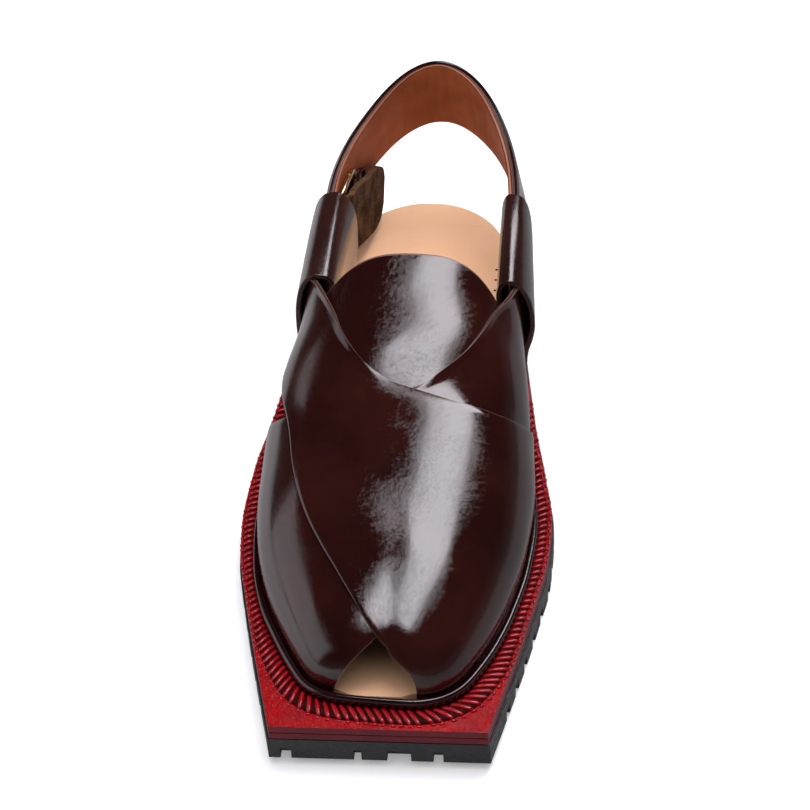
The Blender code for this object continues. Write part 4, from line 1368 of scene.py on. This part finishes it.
def saddle_surface(table, side):
    """Outer face of a loop that stands on the sole and holds the straps."""
    def locate(u, v):
        t = to_edges(u)
        rear_across, rear_height, front_across, front_height = read_row(table, v)
        height = mix(rear_height, front_height, t)
        taper = (1 - min(height, 1.0)) ** 2
        share = mix(SADDLE_REAR + REAR_TAPER * taper, SADDLE_FRONT - FRONT_TAPER * taper, t)
        floor = midsole_top(share) + MEETING_GAP
        across = side * HALF_BALL * mix(rear_across, front_across, t)
        return place(share * SOLE_LENGTH, across, floor + SADDLE_HEIGHT * height)

    return locate


def make_saddles():
    """The two loops, each standing on the sole with both feet."""
    loops = (
        ("saddle_little_toe_side", LITTLE_TOE_SADDLE, -1),
        ("saddle_big_toe_side", BIG_TOE_SADDLE, 1),
    )
    for node, table, side in loops:
        saddle = lay_sheet("loop_" + node, 42, 14, saddle_surface(table, side))
        thicken(saddle, SADDLE_LEATHER, SADDLE_ROUND)
        dress(saddle, "oxblood_leather", (node,), SADDLE, CUT_EDGE, FLESH_SIDE, SADDLE)


def belt_frame(v):
    """Top edge point of the heel strap, the direction out of the shoe and the one down its face."""
    def top(share):
        station, across, height, lean = read_row(HEEL_STRAP, share)
        level = insole_top(0.0) + height * HEEL_STRAP_TOP
        return place(station * SOLE_LENGTH, across * HALF_BALL, level), lean

    def eased(share):
        nearby = [(*top(share + shift * BELT_EASE), 5 - abs(shift)) for shift in range(-4, 5)]
        whole = sum(weight for _, _, weight in nearby)
        middle = sum((found * weight for found, _, weight in nearby), Vector()) / whole
        return middle, sum(lean * weight for _, lean, weight in nearby) / whole

    point, lean = eased(v)
    run = eased(min(v + BELT_RUN, 1.0))[0] - eased(max(v - BELT_RUN, 0.0))[0]
    run = Vector((run.x, run.y, 0)).normalized()
    out = Vector((-run.y, run.x, 0))
    down = Vector((0, 0, -math.cos(math.radians(lean)))) + out * math.sin(math.radians(lean))
    return point, out, down


def belt_surface(offset, top_gap, roll, creases):
    """Face of one layer of the heel strap; offset is from the strap's middle, outwards."""
    def locate(u, v):
        t = to_edges(u)
        point, out, down = belt_frame(v)
        level = mix(top_gap, HEEL_STRAP_WIDTH - top_gap, t)
        turned = roll * max(0.0, 1 - min(t, 1 - t) / BELT_ROLL_SHARE) ** 2
        fold = 0.0
        for middle, width, depth in LINING_FOLDS:
            swayed = v - middle - FOLD_SWAY * math.sin(5 * t + 30 * middle)
            fold += depth * math.exp(-(swayed / width) ** 2)
        fold *= creases * smooth_step(min(t, 1 - t) / FOLD_FADE)
        return point + down * level + out * (offset - turned + fold)

    return locate


# Folds of the heel strap's lining: share along the strap, half width as a share, depth in metres
LINING_FOLDS = (
    (0.330, 0.0060, 0.00035),
    (0.372, 0.0055, 0.00050),
    (0.407, 0.0045, 0.00035),
    (0.445, 0.0060, 0.00055),
    (0.482, 0.0050, 0.00040),
    (0.520, 0.0060, 0.00055),
    (0.556, 0.0045, 0.00035),
    (0.592, 0.0060, 0.00050),
    (0.640, 0.0060, 0.00040),
)
# Layers of the heel strap: place of the face from the strap's middle outwards, gap at both edges,
# how far the edges roll, share of the folds, thickness, way it faces, rows, smoothing levels
HALF_BELT = HEEL_STRAP_THICKNESS / 2
BELT_LAYERS = {
    "heel_strap_face": (HALF_BELT, 0.0, 0.0007, 0.0, 0.0015, 1, 72, 2),
    "heel_strap_core": (HALF_BELT - 0.0016, 0.0010, 0.0, 0.0, 0.0013, 1, 72, 2),
    "heel_strap_lining": (-HALF_BELT, 0.0003, -0.0002, 1.0, 0.0015, -1, 150, 1),
}
# Finishes of each layer: face, cut edge, back, rounded corners
BELT_FINISHES = {
    "heel_strap_face": (OXBLOOD, OXBLOOD, FLESH_SIDE, OXBLOOD),
    "heel_strap_core": (CORE, CORE, CORE, EDGE_HIGHLIGHT),
    "heel_strap_lining": (LINING, ORANGE_EDGE, LINING, CUT_EDGE),
}


def make_heel_strap():
    """Polished face, core board and creased lining; their undersides get the corners' finish."""
    for name, (offset, gap, roll, creases, thickness, way, rows, levels) in BELT_LAYERS.items():
        surface = belt_surface(offset, gap, roll, creases)
        layer = lay_sheet(name, rows, 12, surface, (0, way, 0))
        thicken(layer, thickness, BELT_ROUND, levels)
        for face in layer.data.polygons:
            if face.normal.z < -0.5:
                face.material_index = CORNER_FINISH
        dress(layer, "oxblood_leather", ("heel_strap",), *BELT_FINISHES[name])


def tail_frame(v):
    """Middle of the tail, the directions along it, outwards and up across it, and its width."""
    def middle(share):
        station, across, height, width = read_row(TAIL, share)
        level = insole_top(0.0) + height * SADDLE_HEIGHT
        return place(station * SOLE_LENGTH, across * HALF_BALL, level), width

    point, width = middle(v)
    run = (middle(v + TAIL_STEP)[0] - middle(v - TAIL_STEP)[0]).normalized()
    out = Vector((-run.y, run.x, 0)).normalized()
    return point, run, out, out.cross(run).normalized(), width


def make_tail():
    """Loose end of the buckled strap, flesh side towards the foot."""
    middles = [tail_frame(v)[0] for v in spread(60)]
    total = sum((after - before).length for before, after in zip(middles, middles[1:]))

    def locate(u, v):
        t = to_edges(u)
        point, run, out, up, width = tail_frame(v)
        corner = max(0.0, 1 - (1 - v) * total / TAIL_CORNER)
        half = TAIL_WIDTH * width / 2 - TAIL_CORNER * (1 - math.sqrt(max(0.0, 1 - corner * corner)))
        ragged = TAIL_RAGGED * noise.noise(Vector((v * 40, 3 * t, 1.0)))
        near_end = smooth_step((v - TAIL_FRAY_START) / (1 - TAIL_FRAY_START))
        frayed = TAIL_FRAYED * noise.noise(Vector((2.0, t * 9, 0.0))) * near_end
        beside = up * (half + ragged) * (2 * t - 1)
        return point + run * frayed + beside - out * TAIL_THICKNESS / 2

    tail = lay_sheet("suede_tail", 60, 12, locate, facing=(1, 0, 0))
    thicken(tail, TAIL_THICKNESS, TAIL_ROUND)
    dress(tail, "brown_suede", ("strap_tail",), SUEDE, SUEDE, OXBLOOD, SUEDE)


def buckle_plane():
    """Middles of the two upright bars, the direction from rear to front and the plane's normal."""
    height = insole_top(0.0) + BUCKLE_MIDDLE * SADDLE_HEIGHT
    rear = place(BUCKLE_REAR[0] * SOLE_LENGTH, BUCKLE_REAR[1] * HALF_BALL, height)
    front = place(BUCKLE_FRONT[0] * SOLE_LENGTH, BUCKLE_FRONT[1] * HALF_BALL, height)
    along = (front - rear).normalized()
    return rear, front, along, along.cross(Vector((0, 0, 1)))


def make_wires():
    """Wire frame of the buckle with round corners, and the pin across it."""
    rear, front, along, normal = buckle_plane()
    up = Vector((0, 0, 1))
    half_height = BUCKLE_HEIGHT / 2 - BUCKLE_WIRE / 2
    path = []
    corners = ((front, 1, 1), (rear, -1, 1), (rear, -1, -1), (front, 1, -1))
    for k, (bar, ahead, above) in enumerate(corners):
        centre = bar - along * ahead * BUCKLE_CORNER + up * above * (half_height - BUCKLE_CORNER)
        for angle in spread(6, k * 90, k * 90 + 90):
            turn = math.radians(angle)
            path.append(centre + (along * math.cos(turn) + up * math.sin(turn)) * BUCKLE_CORNER)
    wire = roll_wire("buckle_wire_frame", path, normal, BUCKLE_WIRE / 2, True, 12)
    dress(wire, "pale_gold_metal", ("buckle_frame",), GOLD)
    start = rear + along * (BUCKLE_WIRE / 2 + CHAPE_LEATHER + 2 * MEETING_GAP)
    end = front - along * (BUCKLE_WIRE / 2 + MEETING_GAP)
    line = [start.lerp(end, t) for t in spread(9)]
    prong = roll_wire("buckle_pin", line, normal, PRONG_WIRE / 2, False, 10)
    dress(prong, "pale_gold_metal", ("buckle_prong",), GOLD)


def make_fold():
    """Leather folded round the rear bar; its line is given ahead of the bar and aside from it."""
    rear, _, along, normal = buckle_plane()
    radius = BUCKLE_WIRE / 2 + MEETING_GAP + CHAPE_LEATHER
    flat = CHAPE_LEATHER + MEETING_GAP / 2
    half = [
        (-CHAPE_LENGTH, -flat),
        (-CHAPE_LENGTH * 0.7, -flat),
        (-CHAPE_LENGTH * 0.45, -flat * 1.1),
        (-radius * 1.15, -radius * 0.78),
    ]
    turns = [math.radians(angle) for angle in spread(9, -120, 120)]
    fold = half + [(radius * math.cos(turn), radius * math.sin(turn)) for turn in turns]
    fold += [(ahead, -aside) for ahead, aside in reversed(half)]

    def locate(u, v):
        ahead, aside = fold[round(v * (len(fold) - 1))]
        bend = CHAPE_BEND * (min(ahead, 0.0) / CHAPE_LENGTH) ** 2
        point = rear + along * ahead + normal * (aside - bend)
        return point + Vector((0, 0, CHAPE_HEIGHT * (to_edges(u) - 0.5)))

    chape = lay_sheet("buckle_fold", len(fold) - 1, 8, locate, facing=tuple(along))
    thicken(chape, CHAPE_LEATHER, CHAPE_ROUND)
    dress(chape, "oxblood_leather", ("buckle_chape",), OXBLOOD, OXBLOOD, FLESH_SIDE, OXBLOOD)


# Studio

CAMERA_PLACE = (0.0933, -0.9344, 0.7861)
CAMERA_AIM = (0.0, -0.1055, 0.0450)
CAMERA_ROLL = -0.0552
CAMERA_LENS = 131.0
# Lights: name, place, what they point at, width and length, power, whether leather mirrors them
LIGHTS = (
    ("long_softbox", (0.27, 0.30, 1.25), (0.0, -0.08, 0.05), (0.42, 1.5), 13.5, True),
    ("left_card", (-0.95, -0.20, 0.38), (0.0, -0.10, 0.05), (1.1, 0.7), 2.2, True),
    ("overhead_fill", (0.0, -0.30, 2.20), (0.0, -0.10, 0.0), (3.2, 3.2), 62.0, False),
)
LIGHT_COLOUR = (0.97, 0.95, 1.00)


def point_at(thing, target, roll=0.0):
    """Turns a camera or light towards a target."""
    direction = Vector(target) - thing.location
    turn = direction.to_track_quat("-Z", "Y").to_matrix() @ Matrix.Rotation(roll, 3, "Z")
    thing.rotation_euler = turn.to_euler()


def make_camera():
    camera = bpy.data.objects.new("camera", bpy.data.cameras.new("camera"))
    bpy.context.collection.objects.link(camera)
    camera.location = CAMERA_PLACE
    camera.data.lens = CAMERA_LENS
    camera.data.sensor_width = 36.0
    camera.data.clip_start = 0.01
    point_at(camera, CAMERA_AIM, CAMERA_ROLL)
    bpy.context.scene.camera = camera


def softbox(name, location, target, size, power, mirrored):
    light = bpy.data.lights.new(name, "AREA")
    light.shape = "RECTANGLE"
    light.size = size[0]
    light.size_y = size[1]
    light.energy = power
    light.color = LIGHT_COLOUR
    lamp = bpy.data.objects.new(name, light)
    bpy.context.collection.objects.link(lamp)
    lamp.location = location
    point_at(lamp, target)
    lamp.visible_camera = False
    lamp.visible_glossy = mirrored


def floor_paint():
    """White floor paint, with painted shade in what polished leather mirrors of it: a darker floor,
    most on the big-toe side.
    """
    white, tree, shader = new_finish("white_floor_paint", Roughness=0.6)
    across = add(tree, "ShaderNodeSeparateXYZ", {0: object_place(tree)}).outputs[0]
    ray = add(tree, "ShaderNodeLightPath").outputs
    darker = ranged(tree, across, -0.30, 0.10, 0.25, 0.82)
    shade = maths(tree, "MULTIPLY", ray["Is Glossy Ray"], darker)
    colour = blend_colours(tree, shade, (0.86, 0.86, 0.86, 1), (0.05, 0.05, 0.05, 1))
    glow = ranged(tree, ray["Is Camera Ray"], 0.0, 1.0, 0.05, 0.30)
    tree.links.new(colour, shader["Base Color"])
    tree.links.new(glow, shader["Emission Strength"])
    shader["Emission Color"].default_value = (1, 1, 1, 1)
    return white


def make_world():
    """Pale sky that darkens upwards."""
    world = bpy.data.worlds.new("studio")
    world.use_nodes = True
    sky = world.node_tree
    where = add(sky, "ShaderNodeTexCoord").outputs["Generated"]
    height = add(sky, "ShaderNodeSeparateXYZ", {0: where}).outputs[2]
    backdrop = sky.nodes["Background"].inputs
    backdrop["Color"].default_value = (0.95, 0.95, 1.0, 1)
    sky.links.new(ranged(sky, height, 0.0, 0.40, 0.10, 0.008), backdrop["Strength"])
    bpy.context.scene.world = world


def make_studio():
    """Plain white floor, pale sky and three soft lights."""
    bpy.ops.object.select_all(action="DESELECT")
    bpy.ops.mesh.primitive_plane_add(size=7.0, location=(0, 0, 0))
    floor = bpy.context.object
    floor.name = "white_floor"
    floor.data.materials.append(floor_paint())
    make_world()
    for light in LIGHTS:
        softbox(*light)
    bpy.context.scene.view_settings.view_transform = "Standard"
    bpy.context.scene.view_settings.look = "None"


make_camera()
make_studio()
make_outsole()
make_midsole()
make_insole()
make_rim()
make_stitches()
make_rand()
make_upper()
make_saddles()
make_heel_strap()
make_tail()
make_wires()
make_fold()
